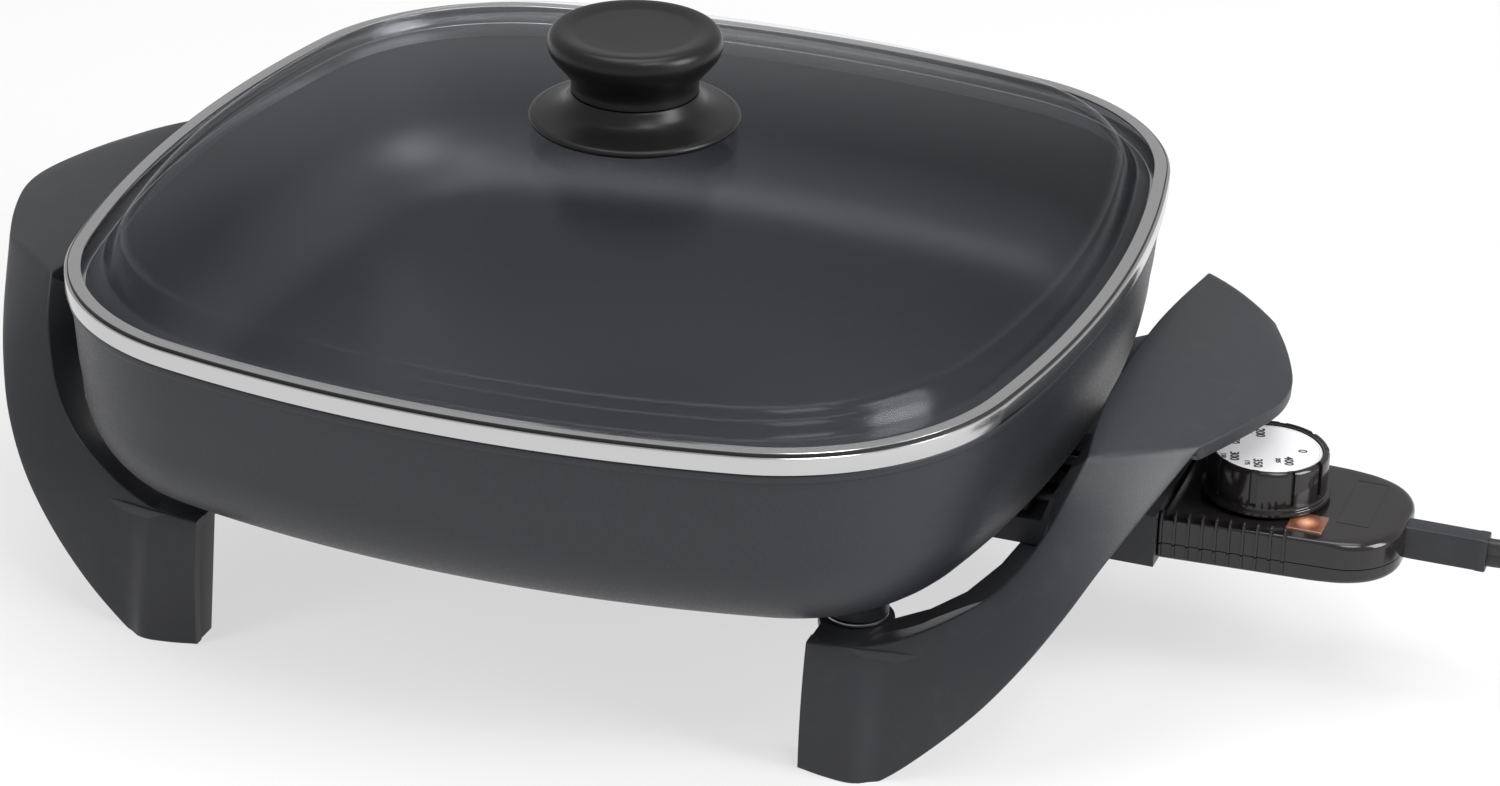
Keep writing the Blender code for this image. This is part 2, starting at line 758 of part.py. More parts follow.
# The flange's edges on the front half, as shares of the grip's reach beyond the pan and of the foot spread
FLANGE_END_SHARES = ((-1.080, 0.940), (-1.080, 0.860))
FLANGE_INNER_SHARES = ((-0.590, 0.668), (-0.464, 0.551), (-0.380, 0.380), (-0.357, 0.255))
FLANGE_OUTER_SHARES = (
    (-0.080, 0.515),
    (-0.095, 0.760),
    (-0.190, 0.850),
    (-0.270, 0.880),
    (-0.500, 0.908),
    (-0.780, 0.930),
)
LOBE_START = math.radians(205)
LOBE_END = math.radians(10)
LOBE_STEPS = 6


def station_edges(row):
    """The inner and outer edge points of one station, on the front half of the +X handle."""
    rise = GRIP_TOP - FLANGE_TOP
    inner = Vector((PAN_HALF + row[0] * GRIP_REACH, -row[1] * FOOT_SPREAD, FLANGE_TOP + row[2] * rise))
    outer = Vector((PAN_HALF + row[3] * GRIP_REACH, -row[4] * FOOT_SPREAD, row[5] * GRIP_TOP))
    return inner, outer


def edge_curves():
    """The two edges of the skin from the front foot over the grip to the rear foot, sharp at the creases."""
    curves = []
    for side in (0, 1):
        leg = smooth_through([station_edges(row)[side] for row in LEG_SHARES], LEG_SPANS)
        half_grip = [station_edges(row)[side] for row in GRIP_SHARES]
        mirrored = [Vector((p.x, -p.y, p.z)) for p in half_grip[-2::-1]]
        grip = smooth_through(half_grip + mirrored, GRIP_SPANS)
        back_leg = [Vector((p.x, -p.y, p.z)) for p in leg[::-1]]
        curves.append(leg[:-1] + grip + back_leg[1:])
    return curves


def rib_depths():
    """The rib's depth at each section of the skin, in the order of edge_curves."""
    leg = spread(RIB_LEG_SHARES, LEG_SPANS)
    half_grip = list(RIB_GRIP_SHARES)
    grip = spread(half_grip + half_grip[-2::-1], GRIP_SPANS)
    return [RIB_DEPTH * share for share in leg[:-1] + grip + leg[-2::-1]]


def spread(values, spans):
    """The values with a number of even steps between each two."""
    filled = []
    for start, end in zip(values, values[1:]):
        filled += [start + (end - start) * step / spans for step in range(spans)]
    return filled + [values[-1]]


def skin_sections():
    """Closed sections of the skin: its crowned face, then its back, which thins to the outer edge above
    the foot and drops to a rib along the inner edge."""
    inner, outer = edge_curves()
    depths = rib_depths()
    count = len(inner)
    rings = []
    for index in range(count):
        before, after = max(index - 1, 0), min(index + 1, count - 1)
        ahead = (inner[after] + outer[after]) - (inner[before] + outer[before])
        across = outer[index] - inner[index]
        out = across.cross(ahead).normalized()
        if out.dot(Vector((1, 0, 1))) < 0:
            out = -out
        if index in (0, count - 1):
            out = Vector((0, math.copysign(1, inner[index].y), 0))
        face = []
        for step in range(SKIN_ACROSS + 1):
            share = step / SKIN_ACROSS
            crown = SKIN_CROWN * 4 * share * (1 - share)
            face.append(inner[index] + across * share + out * crown)
        rib_side = inner[index] + across.normalized() * RIB
        back = [face[-1] - out * (SKIN_EDGE if outer[index].z > 0 else SKIN)]
        back += [point - out * SKIN for point in reversed(face[1:-1])]
        back += [rib_side - out * SKIN, rib_side - out * depths[index], inner[index] - out * depths[index]]
        for point in face + back:
            point.z = max(point.z, 0.0)
        rings.append(face + back)
    return rings


def end_wall():
    """The flat inner end of the front leg, turned in from the skin under the pan."""
    inner, outer = station_edges(LEG_SHARES[0])
    x = min(inner.x, outer.x) + END_WALL_INSET
    rings = []
    low = Vector((0, outer.y, 0))
    high = Vector((0, inner.y, FLANGE_TOP - END_WALL_INSET))
    for edge, depth in ((low, END_WALL_DEPTH), (high, END_WALL_TOP_DEPTH)):
        front = edge.y + SKIN / 2
        rings.append(
            [
                Vector((x, front, edge.z)),
                Vector((x + END_WALL, front, edge.z)),
                Vector((x + END_WALL, edge.y + depth, edge.z)),
                Vector((x, edge.y + depth, edge.z)),
            ]
        )
    return loft(rings)


def flange_outline():
    """The inner and the outer edge of half the flange, from the front leg's end to the middle of the side,
    with a round lobe under the post."""

    def placed(shares):
        return [(PAN_HALF + out * GRIP_REACH, -along * FOOT_SPREAD) for out, along in shares]

    lobe = arc_points((POST_OUT, -POST_ALONG), FLANGE_LOBE, LOBE_START, LOBE_END, LOBE_STEPS)
    inner = placed(FLANGE_END_SHARES) + lobe + placed(FLANGE_INNER_SHARES)
    return inner, placed(FLANGE_OUTER_SHARES)


def flange_plate():
    """The flange between both legs, a level plate under the pan's edge."""
    inner, outer = flange_outline()
    across = [(x, -y) for x, y in reversed(inner)]
    back = [(x, -y) for x, y in reversed(outer)]
    return prism(inner + across + back + outer, FLANGE_TOP - FLANGE_THICK, FLANGE_TOP - END_WALL_INSET / 2)


def make_handle(finishes, base, name, side):
    shell = reflected(loft(skin_sections()), along_x=side)
    handle = build(name, shell, finishes["matte_phenolic"], base)
    join(handle, name + "_flange_form", reflected(flange_plate(), along_x=side))
    walls = together(end_wall(), reflected(end_wall(), along_y=-1))
    join(handle, name + "_end_form", reflected(walls, along_x=side))
    hole = HANDLE_SCREW_RADIUS + SCREW_CLEARANCE
    low = FLANGE_TOP - FLANGE_THICK - OVERRUN
    holes = [rod(hole, low, FLANGE_TOP + OVERRUN, (side * POST_OUT, y * POST_ALONG, 0)) for y in (1, -1)]
    cut(handle, name + "_holes_cut", together(*holes))


def screw(radius, head_radius, head, low, high, place):
    """A cap-headed screw that points up; low is the underside of its head."""
    neck = low + head
    profile = [(0, low), (head_radius, low), (head_radius, neck), (radius, neck), (radius, high), (0, high)]
    return turned(profile, place, SMALL_CIRCLE_STEPS)


def stepped_hole(wide, narrow, low, step, high, place):
    """A cutter for a screw hole with a wider sink for the head below."""
    profile = [(0, low), (wide, low), (wide, step), (narrow, step), (narrow, high), (0, high)]
    return turned(profile, place, SMALL_CIRCLE_STEPS)


def make_handle_fasteners(finishes, base):
    top = PAN_BASE - POST_LENGTH + HANDLE_SCREW_BITE
    head_low = FLANGE_TOP - FLANGE_THICK - GAP - HANDLE_SCREW_HEAD
    washer_low = FLANGE_TOP + GAP
    hole = HANDLE_SCREW_RADIUS + SCREW_CLEARANCE
    spacers = []
    screws = []
    for x, y in post_places():
        place = (x, y, 0)
        spacers.append(washer(hole, POST_RADIUS, washer_low, washer_low + POST_WASHER, place, CIRCLE_STEPS))
        head_radius = HANDLE_SCREW_HEAD_RADIUS
        screws.append(screw(HANDLE_SCREW_RADIUS, head_radius, HANDLE_SCREW_HEAD, head_low, top, place))
    build_each("post_washer", spacers, finishes["zinc_steel"], base)
    build_each("handle_screw", screws, finishes["zinc_steel"], base)


# Terminal guard


def make_guard(finishes, base):
    inner_x = PAN_HALF - GUARD_INNER_BACK
    step_x = PAN_HALF - GUARD_STEP_BACK
    top = GUARD_BASE + GUARD_HEIGHT
    step_top = GUARD_BASE + GUARD_STEP_HEIGHT
    profile = [
        (inner_x, GUARD_BASE),
        (GUARD_END, GUARD_BASE),
        (GUARD_END, top),
        (step_x + GUARD_WALL, top),
        (step_x, step_top),
        (inner_x, step_top),
    ]
    box = side_prism(profile, -GUARD_HALF, GUARD_HALF)
    guard = build("terminal_guard", box, finishes["matte_phenolic"], base)
    floor = GUARD_BASE + GUARD_FLOOR
    side = GUARD_HALF - GUARD_WALL
    room = block((step_x + GUARD_WALL, -side, floor), (GUARD_END + OVERRUN, side, top - GUARD_WALL))
    cut(guard, "guard_room_cut", room)
    middle = block(
        (inner_x - OVERRUN, -GUARD_MIDDLE_HALF, floor),
        (step_x + 2 * GUARD_WALL, GUARD_MIDDLE_HALF, top - GUARD_WALL),
    )
    cut(guard, "guard_middle_cut", middle)
    sink = GUARD_SCREW_HEAD_RADIUS + GAP
    bore = GUARD_SCREW_RADIUS + GAP
    sink_top = GUARD_BASE + GUARD_SCREW_HEAD + 2 * GAP
    low = GUARD_BASE - OVERRUN
    high = step_top + OVERRUN
    holes = [stepped_hole(sink, bore, low, sink_top, high, (x, y, 0)) for x, y in guard_screw_places()]
    cut(guard, "guard_holes_cut", together(*holes))
    low = GUARD_BASE + GAP
    top = step_top + GAP + GUARD_SCREW_BITE
    screws = [
        screw(GUARD_SCREW_RADIUS, GUARD_SCREW_HEAD_RADIUS, GUARD_SCREW_HEAD, low, top, (x, y, 0))
        for x, y in guard_screw_places()
    ]
    build_each("guard_screw", screws, finishes["zinc_steel"], base)


# Lid


def band_shape():
    """The steel band: a channel round the glass edge with a skirt that drops inside the pan."""
    sheet = BAND_SHEET
    section = [
        (0, 0),
        (0, BAND_HEIGHT),
        (BAND_TOP_LIP, BAND_HEIGHT),
        (BAND_TOP_LIP, BAND_HEIGHT - sheet),
        (sheet, BAND_HEIGHT - sheet),
        (sheet, sheet),
        (BAND_LOW_LIP, sheet),
        (BAND_LOW_LIP, -BAND_SKIRT),
        (BAND_LOW_LIP - sheet, -BAND_SKIRT),
        (BAND_LOW_LIP - sheet, 0),
    ]
    rings = [pan_ring(inset, LID_SEAT + up, LID_HALF) for inset, up in section]
    return loft(rings, closed=True)


def glass_edge_half():
    return LID_HALF - BAND_SHEET - GAP


def glass_top_at(half):
    """Height of the glass's upper face on the ring of a given half width."""
    seat = LID_SEAT + BAND_SHEET + GAP + GLASS_THICK
    seat_half = glass_edge_half() - GLASS_SEAT
    dome_half = seat_half - SHOULDER_WIDTH
    if half >= seat_half:
        return seat
    if half >= dome_half:
        t = (seat_half - half) / SHOULDER_WIDTH
        return seat + SHOULDER_RISE * t * t * (3 - 2 * t)
    return seat + SHOULDER_RISE + DOME_RISE * (1 - (half / dome_half) ** 2)


def glass_halves():
    """Half widths of the rings of the glass, from its edge to its hole."""
    seat_half = glass_edge_half() - GLASS_SEAT
    dome_half = seat_half - SHOULDER_WIDTH
    shoulder = [seat_half - SHOULDER_WIDTH * step / 3 for step in range(3)]
    dome = [dome_half + (LID_HOLE - dome_half) * step / DOME_STEPS for step in range(DOME_STEPS + 1)]
    return [glass_edge_half()] + shoulder + dome


def glass_shape():
    top = [round_share_ring(half, glass_top_at(half)) for half in glass_halves()]
    low = [round_share_ring(half, glass_top_at(half) - GLASS_THICK) for half in reversed(glass_halves())]
    return loft(top + low, closed=True)


# The knob's side from its neck to its rim, and the rim's crown, as shares of its radius and height
KNOB_FLARE_SHARES = ((0.735, 0.16), (0.775, 0.27), (0.865, 0.43), (0.955, 0.58), (1.000, 0.72), (1.000, 0.84))
KNOB_CROWN_SHARES = ((0.975, 0.93), (0.920, 0.99), (0.850, 1.000), (0.770, 0.975))
KNOB_DISH_SHARE = 0.95
# The guard disc's upper side from its rim to its neck, as shares of its radius and rise
DISC_SLOPE_SHARES = ((1.00, 0.00), (0.985, 0.16), (0.90, 0.22), (0.78, 0.34), (0.69, 0.52), (0.64, 0.75))


def knob_profile(base):
    """Knob from its foot on the guard disc up to its dished top, over a bored middle."""
    sides = KNOB_FLARE_SHARES + KNOB_CROWN_SHARES
    outer = [(KNOB_RADIUS * across, base + KNOB_HEIGHT * up) for across, up in sides]
    dish = [(0, base + KNOB_HEIGHT * KNOB_DISH_SHARE)]
    foot = [(NECK_RADIUS, base)]
    bore = INSERT_RADIUS + GAP
    hollow = [(0, base + INSERT_LENGTH + GAP), (bore, base + INSERT_LENGTH + GAP), (bore, base)]
    return hollow + foot + outer + dish


def disc_profile(base):
    """Guard disc: a thin round rim swept up to the neck, with a hub that stands on the gasket."""
    hub_low = base
    bore = KNOB_SCREW_RADIUS + SCREW_CLEARANCE
    rim = base + GASKET_THICK / 2
    top = base + DISC_HEIGHT
    rise = top - rim - DISC_RIM / 2
    outer = [(DISC_RADIUS * across, rim + DISC_RIM / 2 + rise * up) for across, up in DISC_SLOPE_SHARES]
    under = [(DISC_RADIUS - DISC_RIM, rim), (DISC_RADIUS, rim)]
    pocket = [(DISC_HUB, hub_low), (DISC_HUB, rim + DISC_RIM)]
    pocket.append((DISC_RADIUS - 2 * DISC_RIM, rim + DISC_RIM / 4))
    return [(bore, hub_low)] + pocket + under + outer[1:] + [(NECK_RADIUS, top), (bore, top)]


def make_lid(finishes, lid):
    build("lid_band", band_shape(), finishes["polished_steel"], lid)
    build("lid_glass", glass_shape(), finishes["clear_glass"], lid)
    glass_top = glass_top_at(0)
    gasket_low = glass_top + GAP
    build(
        "knob_gasket",
        washer(LID_HOLE, GASKET_RADIUS, gasket_low, gasket_low + GASKET_THICK, steps=CIRCLE_STEPS),
        finishes["silicone"],
        lid,
    )
    disc_base = gasket_low + GASKET_THICK + GAP
    disc = turned(disc_profile(disc_base), steps=WIDE_CIRCLE_STEPS)
    build("knob_disc", disc, finishes["knob_phenolic"], lid)
    knob_base = disc_base + DISC_HEIGHT + GAP
    knob = turned(knob_profile(knob_base), steps=WIDE_CIRCLE_STEPS)
    build("lid_knob", knob, finishes["knob_phenolic"], lid)
    washer_top = glass_top_at(LID_WASHER_RADIUS) - GLASS_THICK - GAP
    hole = KNOB_SCREW_RADIUS + SCREW_CLEARANCE
    build(
        "lid_washer",
        washer(hole, LID_WASHER_RADIUS, washer_top - LID_WASHER, washer_top, steps=CIRCLE_STEPS),
        finishes["polished_steel"],
        lid,
    )
    head_top = washer_top - LID_WASHER - GAP
    top = knob_base + KNOB_SCREW_BITE
    low = head_top - KNOB_SCREW_HEAD
    shank = screw(KNOB_SCREW_RADIUS, KNOB_SCREW_HEAD_RADIUS, KNOB_SCREW_HEAD, low, top, (0, 0, 0))
    build("knob_screw", shank, finishes["polished_steel"], lid)
    insert = washer(KNOB_SCREW_RADIUS + GAP, INSERT_RADIUS, knob_base + GAP, knob_base + INSERT_LENGTH)
    build("knob_insert", insert, finishes["brass"], lid)


# Heat control


def control_half_at(x):
    """Half width of the housing at a place along it, where its sides are straight."""
    share = (x - CONTROL_START) / (CONTROL_LENGTH - CONTROL_CORNER)
    return CONTROL_HALF + (CONTROL_END_HALF - CONTROL_HALF) * share


def control_outline(inset):
    """The housing from above: tapering sides and an outer end with round corners, drawn in by an inset."""
    corner = CONTROL_CORNER - inset
    turn_x = CONTROL_END - CONTROL_CORNER
    centre_y = CONTROL_END_HALF - CONTROL_CORNER
    start = CONTROL_START + inset
    near = [(start, -control_half_at(CONTROL_START) + inset)]
    low = arc_points((turn_x, -centre_y), corner, -math.pi / 2, 0, BEND_STEPS + 1)
    high = [(x, -y) for x, y in reversed(low)]
    return near + low + high + [(start, control_half_at(CONTROL_START) - inset)]


def shell_shape(low, high, edge_low, edge_high):
    """A slab of the housing with its lower or upper edge eased."""
    rings = []
    if edge_low > 0:
        rings.append((edge_low, low))
    rings.append((0, low + edge_low))
    rings.append((0, high - edge_high))
    if edge_high > 0:
        rings.append((edge_high, high))
    return loft([[Vector((x, y, z)) for x, y in control_outline(inset)] for inset, z in rings])


def shell_screw_places():
    front = CONTROL_START + FRONT_SCREW_IN
    rear = CONTROL_END - REAR_SCREW_IN
    places = [(front, y * FRONT_SCREW_SPREAD) for y in (1, -1)]
    return places + [(rear, y * REAR_SCREW_SPREAD) for y in (1, -1)]


def side_fins(low, high):
    """Thin upright grip fins along both sides, sunk into the wall, between two heights."""
    fins = []
    for index in range(FIN_COUNT):
        x = CONTROL_START + FIN_START + index * FIN_PITCH
        wall = control_half_at(x)
        near = (x - FIN_THICK / 2, wall - CONTROL_WALL / 2, low)
        fin = block(near, (x + FIN_THICK / 2, wall + FIN_PROUD, high))
        fins += [fin, reflected(fin, along_y=-1)]
    return together(*fins)


def nose_opening():
    """Where the nose leaves the housing."""
    return block(
        (CONTROL_START - OVERRUN, -NOSE_HALF - GAP, AXIS_Z - NOSE_BELOW - GAP),
        (CONTROL_START + CONTROL_WALL + GAP, NOSE_HALF + GAP, AXIS_Z + NOSE_ABOVE + GAP),
    )


def relief_opening():
    """Where the strain relief leaves the housing."""
    return block(
        (CONTROL_END - CONTROL_WALL - OVERRUN, -RELIEF_HALF - GAP, AXIS_Z - RELIEF_BELOW - GAP),
        (CONTROL_END + OVERRUN, RELIEF_HALF + GAP, AXIS_Z + RELIEF_ABOVE + GAP),
    )


def inner_room(low, high):
    return prism(control_outline(CONTROL_WALL), low, high)


def make_top_shell(finishes, control):
    slab = shell_shape(TOP_SHELL_BASE, CONTROL_TOP, 0, SHELL_EDGE)
    shell = build("control_top", slab, finishes["gloss_phenolic"], control)
    join(shell, "top_fin_form", side_fins(TOP_SHELL_BASE, CONTROL_TOP - SHELL_EDGE))
    cut(shell, "top_mouths_cut", together(nose_opening(), relief_opening()))
    cut(shell, "top_room_cut", inner_room(TOP_SHELL_BASE - OVERRUN, CONTROL_CEILING))
    places = [(x, y, 0) for x, y in shell_screw_places()]
    bosses = [rod(SHELL_BOSS, TOP_SHELL_BASE, CONTROL_CEILING + GAP, place) for place in places]
    join(shell, "top_boss_form", together(*bosses))
    low = TOP_SHELL_BASE - OVERRUN
    high = TOP_SHELL_BASE + SHELL_SCREW_BITE + GAP
    pilots = [rod(SHELL_SCREW_RADIUS + GAP, low, high, place) for place in places]
    lens_x = CONTROL_START + LENS_IN
    half = LENS_HALF + GAP
    window = block(
        (lens_x - half, LENS_ALONG - half, CONTROL_CEILING - OVERRUN),
        (lens_x + half, LENS_ALONG + half, CONTROL_TOP + OVERRUN),
    )
    hole = SHAFT_RADIUS + SHAFT_CLEARANCE
    shaft = rod(hole, CONTROL_CEILING - OVERRUN, CONTROL_TOP + OVERRUN, (DIAL_X, 0, 0))
    cut(shell, "top_holes_cut", together(window, shaft, *pilots))


def make_low_shell(finishes, control):
    slab = shell_shape(LOW_SHELL_BASE, SEAM_Z, SHELL_EDGE, 0)
    shell = build("control_bottom", slab, finishes["gloss_phenolic"], control)
    join(shell, "low_fin_form", side_fins(LOW_SHELL_BASE + SHELL_EDGE, SEAM_Z))
    cut(shell, "low_mouths_cut", together(nose_opening(), relief_opening()))
    cut(shell, "low_room_cut", inner_room(CONTROL_FLOOR, SEAM_Z + OVERRUN))
    places = [(x, y, 0) for x, y in shell_screw_places()]
    bosses = [rod(SHELL_BOSS, CONTROL_FLOOR - GAP, SEAM_Z, place) for place in places]
    join(shell, "low_boss_form", together(*bosses))
    sink_top = LOW_SHELL_BASE + SHELL_SCREW_HEAD + 2 * GAP
    sink = SHELL_SCREW_HEAD_RADIUS + GAP
    bore = SHELL_SCREW_RADIUS + GAP
    low = LOW_SHELL_BASE - OVERRUN
    holes = [stepped_hole(sink, bore, low, sink_top, SEAM_Z + OVERRUN, place) for place in places]
    cut(shell, "low_holes_cut", together(*holes))


def make_shell_screws(finishes, control):
    low = LOW_SHELL_BASE + GAP
    top = TOP_SHELL_BASE + SHELL_SCREW_BITE
    screws = [
        screw(SHELL_SCREW_RADIUS, SHELL_SCREW_HEAD_RADIUS, SHELL_SCREW_HEAD, low, top, (x, y, 0))
        for x, y in shell_screw_places()
    ]
    build_each("housing_screw", screws, finishes["zinc_steel"], control)


def make_nose(finishes, control):
    """Terminal block with two spring sockets and the probe's stem through its middle."""
    start = CONTROL_START - NOSE_OUT
    wall_end = CONTROL_START + CONTROL_WALL
    inside = wall_end + GAP
    end = inside + NOSE_FLANGE
    low = AXIS_Z - NOSE_BELOW
    high = AXIS_Z + NOSE_ABOVE
    step = CONTROL_FLOOR + GAP
    profile = [(start, low), (wall_end, low), (wall_end, step), (end, step), (end, high), (start, high)]
    body = side_prism(profile, -NOSE_HALF, NOSE_HALF)
    nose = build("control_nose", body, finishes["gloss_phenolic"], control)
    ear = NOSE_HALF + NOSE_EAR
    join(nose, "nose_ear_form", block((inside, -ear, step + GAP), (end - GAP, ear, high - GAP)))
    socket_outer = PIN_RADIUS + GAP + SOCKET_WALL
    hole = socket_outer + GAP
    stop = start + SOCKET_LENGTH + 2 * GAP
    holes = [bar(hole, start - OVERRUN, stop, y * PIN_SPREAD, AXIS_Z) for y in (1, -1)]
    holes.append(bar(PROBE_STEM_RADIUS + GAP, start - OVERRUN, end + OVERRUN, 0, AXIS_Z))
    cut(nose, "nose_bores_cut", together(*holes))
    first = start + GAP
    bore = PIN_RADIUS + GAP
    last = first + SOCKET_LENGTH
    sockets = [pipe(bore, socket_outer, first, last, y * PIN_SPREAD, AXIS_Z) for y in (1, -1)]
    build_each("socket_contact", sockets, finishes["brass"], control)
    probe_end = end + FRAME_THICK + 2 * GAP
    stem_start = start - GAP
    tip = PAN_HALF - SHEATH_BACK + SHEATH_WALL + PROBE_TIP_GAP
    probe = [
        (0, tip),
        (PROBE_RADIUS, tip),
        (PROBE_RADIUS, stem_start),
        (PROBE_STEM_RADIUS, stem_start),
        (PROBE_STEM_RADIUS, probe_end),
        (0, probe_end),
    ]
    shape = moved(laid(turned(probe, steps=SMALL_CIRCLE_STEPS)), (0, 0, AXIS_Z))
    build("probe_rod", shape, finishes["polished_steel"], control)
    return probe_end


def thermostat_levels(floor):
    """Lowest heights of the three insulators and of the two blades between them."""
    step = BLOCK_THICK + GAP + BLADE_THICK + GAP
    blocks = [floor + FRAME_THICK + GAP + step * layer for layer in range(3)]
    return blocks, [low + BLOCK_THICK + GAP for low in blocks[:2]]


def make_thermostat(finishes, control, probe_end):
    """Frame on the floor, a riveted stack of insulators that holds two blades, and their contacts."""
    floor = CONTROL_FLOOR + GAP
    start = probe_end - FRAME_THICK - GAP
    bore = PROBE_STEM_RADIUS + GAP
    plate = block((start, -FRAME_HALF, floor), (start + FRAME_LENGTH, FRAME_HALF, floor + FRAME_THICK))
    frame = build("thermostat_frame", plate, finishes["zinc_steel"], control, smooth=False)
    tab = block((start, -FRAME_HALF, floor), (start + FRAME_THICK, FRAME_HALF, floor + FRAME_TAB_RISE))
    join(frame, "frame_tab_form", tab)
    cut(frame, "frame_bore_cut", bar(bore, start - OVERRUN, probe_end + OVERRUN, 0, AXIS_Z))
    stack_end = start + FRAME_LENGTH
    rivet_place = (stack_end - STACK_LENGTH / 2, 0, 0)
    block_lows, blade_lows = thermostat_levels(floor)
    hole = RIVET_RADIUS + GAP
    stack_top = block_lows[-1] + BLOCK_THICK + OVERRUN
    rivet_bore = rod(hole, floor - OVERRUN, stack_top, rivet_place, RIVET_STEPS)
    for index, low in enumerate(block_lows):
        corner = (stack_end - STACK_LENGTH, -STACK_HALF, low)
        piece = block(corner, (stack_end, STACK_HALF, low + BLOCK_THICK))
        insulator = build(f"blade_insulator_{index + 1}", piece, finishes["ceramic"], control, smooth=False)
        cut(insulator, f"insulator_{index + 1}_cut", rivet_bore)
    for index, low in enumerate(blade_lows):
        corner = (stack_end - BLADE_LENGTH, -BLADE_HALF, low)
        piece = block(corner, (stack_end, BLADE_HALF, low + BLADE_THICK))
        blade = build(f"thermostat_blade_{index + 1}", piece, finishes["brass"], control, smooth=False)
        cut(blade, f"blade_{index + 1}_cut", rivet_bore)
    make_contacts(finishes, control, stack_end, blade_lows)
    head_low = block_lows[-1] + BLOCK_THICK + GAP
    rivet = turned(
        [
            (0, block_lows[0] - GAP / 2),
            (RIVET_RADIUS, block_lows[0] - GAP / 2),
            (RIVET_RADIUS, head_low),
            (RIVET_HEAD_RADIUS, head_low),
            (RIVET_HEAD_RADIUS, head_low + RIVET_HEAD),
            (0, head_low + RIVET_HEAD),
        ],
        rivet_place,
        RIVET_STEPS,
    )
    build("stack_rivet", rivet, finishes["brass"], control)
    return blade_lows[-1] + BLADE_THICK


def make_contacts(finishes, control, stack_end, blade_lows):
    """Two contact points that meet between the blades' free ends."""
    place = (stack_end - BLADE_LENGTH + CONTACT_INSET, 0, 0)
    low = blade_lows[0] + BLADE_THICK + GAP
    high = blade_lows[1] - GAP
    middle = (low + high) / 2
    points = [
        rod(CONTACT_RADIUS, low, middle - GAP / 2, place),
        rod(CONTACT_RADIUS, middle + GAP / 2, high, place),
    ]
    build_each("contact_point", points, finishes["zinc_steel"], control)


def make_lamp(finishes, control):
    lens_x = CONTROL_START + LENS_IN
    lip_top = CONTROL_CEILING - GAP
    lip = LENS_HALF + LENS_LIP
    low = lip_top - LENS_LIP_THICK
    sizes = [
        (lip, low),
        (lip, lip_top),
        (LENS_HALF, lip_top),
        (LENS_HALF, CONTROL_TOP),
        (LENS_HALF - LENS_PROUD, CONTROL_TOP + LENS_PROUD),
    ]
    corners = ((-1, -1), (1, -1), (1, 1), (-1, 1))
    rings = [[Vector((lens_x + half * x, LENS_ALONG + half * y, z)) for x, y in corners] for half, z in sizes]
    build("lamp_lens", loft(rings), finishes["amber_lens"], control, smooth=False)
    lamp = rod(LAMP_RADIUS, CONTROL_FLOOR + GAP, low - GAP, (lens_x, LENS_ALONG, 0))
    build("signal_lamp", lamp, finishes["lamp_glass"], control)


def make_dial(finishes, dial, blade_top):
    """Grooved dial over a skirt ring, its plate and its shaft; the dial's empty stands on its axis."""
    top = DIAL_BASE + DIAL_HEIGHT
    plate_top = top - PLATE_RECESS
    body = [
        (0, DIAL_BASE),
        (SKIRT_RADIUS, DIAL_BASE),
        (SKIRT_RADIUS, DIAL_BASE + SKIRT_HEIGHT),
        (DIAL_RADIUS, DIAL_BASE + SKIRT_HEIGHT),
        (DIAL_RADIUS, top - PLATE_THICK),
        (DIAL_RADIUS - PLATE_THICK, top),
        (PLATE_RADIUS + GAP, top),
        (PLATE_RADIUS + GAP, plate_top - PLATE_THICK - GAP),
        (0, plate_top - PLATE_THICK - GAP),
    ]
    knob = build("dial_knob", turned(body, steps=WIDE_CIRCLE_STEPS), finishes["gloss_phenolic"], dial)
    grooves = []
    for index in range(DIAL_GROOVES):
        angle = 2 * math.pi * (index + 1 / 2) / DIAL_GROOVES
        place = (DIAL_RADIUS * math.cos(angle), DIAL_RADIUS * math.sin(angle), 0)
        grooves.append(rod(GROOVE_RADIUS, DIAL_BASE + 2 * SKIRT_HEIGHT, top + OVERRUN, place, RIVET_STEPS))
    cut(knob, "dial_grooves_cut", together(*grooves))
    cut(knob, "dial_bore_cut", rod(SHAFT_RADIUS + GAP, DIAL_BASE - OVERRUN, DIAL_BASE + SHAFT_BITE + GAP))
    plate = rod(PLATE_RADIUS, plate_top - PLATE_THICK, plate_top, steps=WIDE_CIRCLE_STEPS)
    build("dial_plate", plate, finishes["silver_plate"], dial)
    shaft = rod(SHAFT_RADIUS, blade_top + GAP, DIAL_BASE + SHAFT_BITE)
    build("dial_shaft", shaft, finishes["zinc_steel"], dial)


def make_relief(finishes, control):
    wall_start = CONTROL_END - CONTROL_WALL
    collar_end = wall_start - GAP
    collar_start = collar_end - RELIEF_COLLAR_THICK
    low = AXIS_Z - RELIEF_BELOW
    high = AXIS_Z + RELIEF_ABOVE
    inner_low = max(CONTROL_FLOOR + GAP, low)
    inner_high = min(CONTROL_CEILING - GAP, high)
    profile = [
        (collar_start, inner_low),
        (wall_start, inner_low),
        (wall_start, low),
        (RELIEF_END, low),
        (RELIEF_END, high),
        (wall_start, high),
        (wall_start, inner_high),
        (collar_start, inner_high),
    ]
    sleeve = side_prism(profile, -RELIEF_HALF, RELIEF_HALF)
    relief = build("strain_relief", sleeve, finishes["cord_vinyl"], control)
    wide = RELIEF_HALF + RELIEF_COLLAR
    collar = block((collar_start + GAP, -wide, inner_low + GAP), (collar_end, wide, inner_high - GAP))
    join(relief, "relief_collar_form", collar)


# Cord


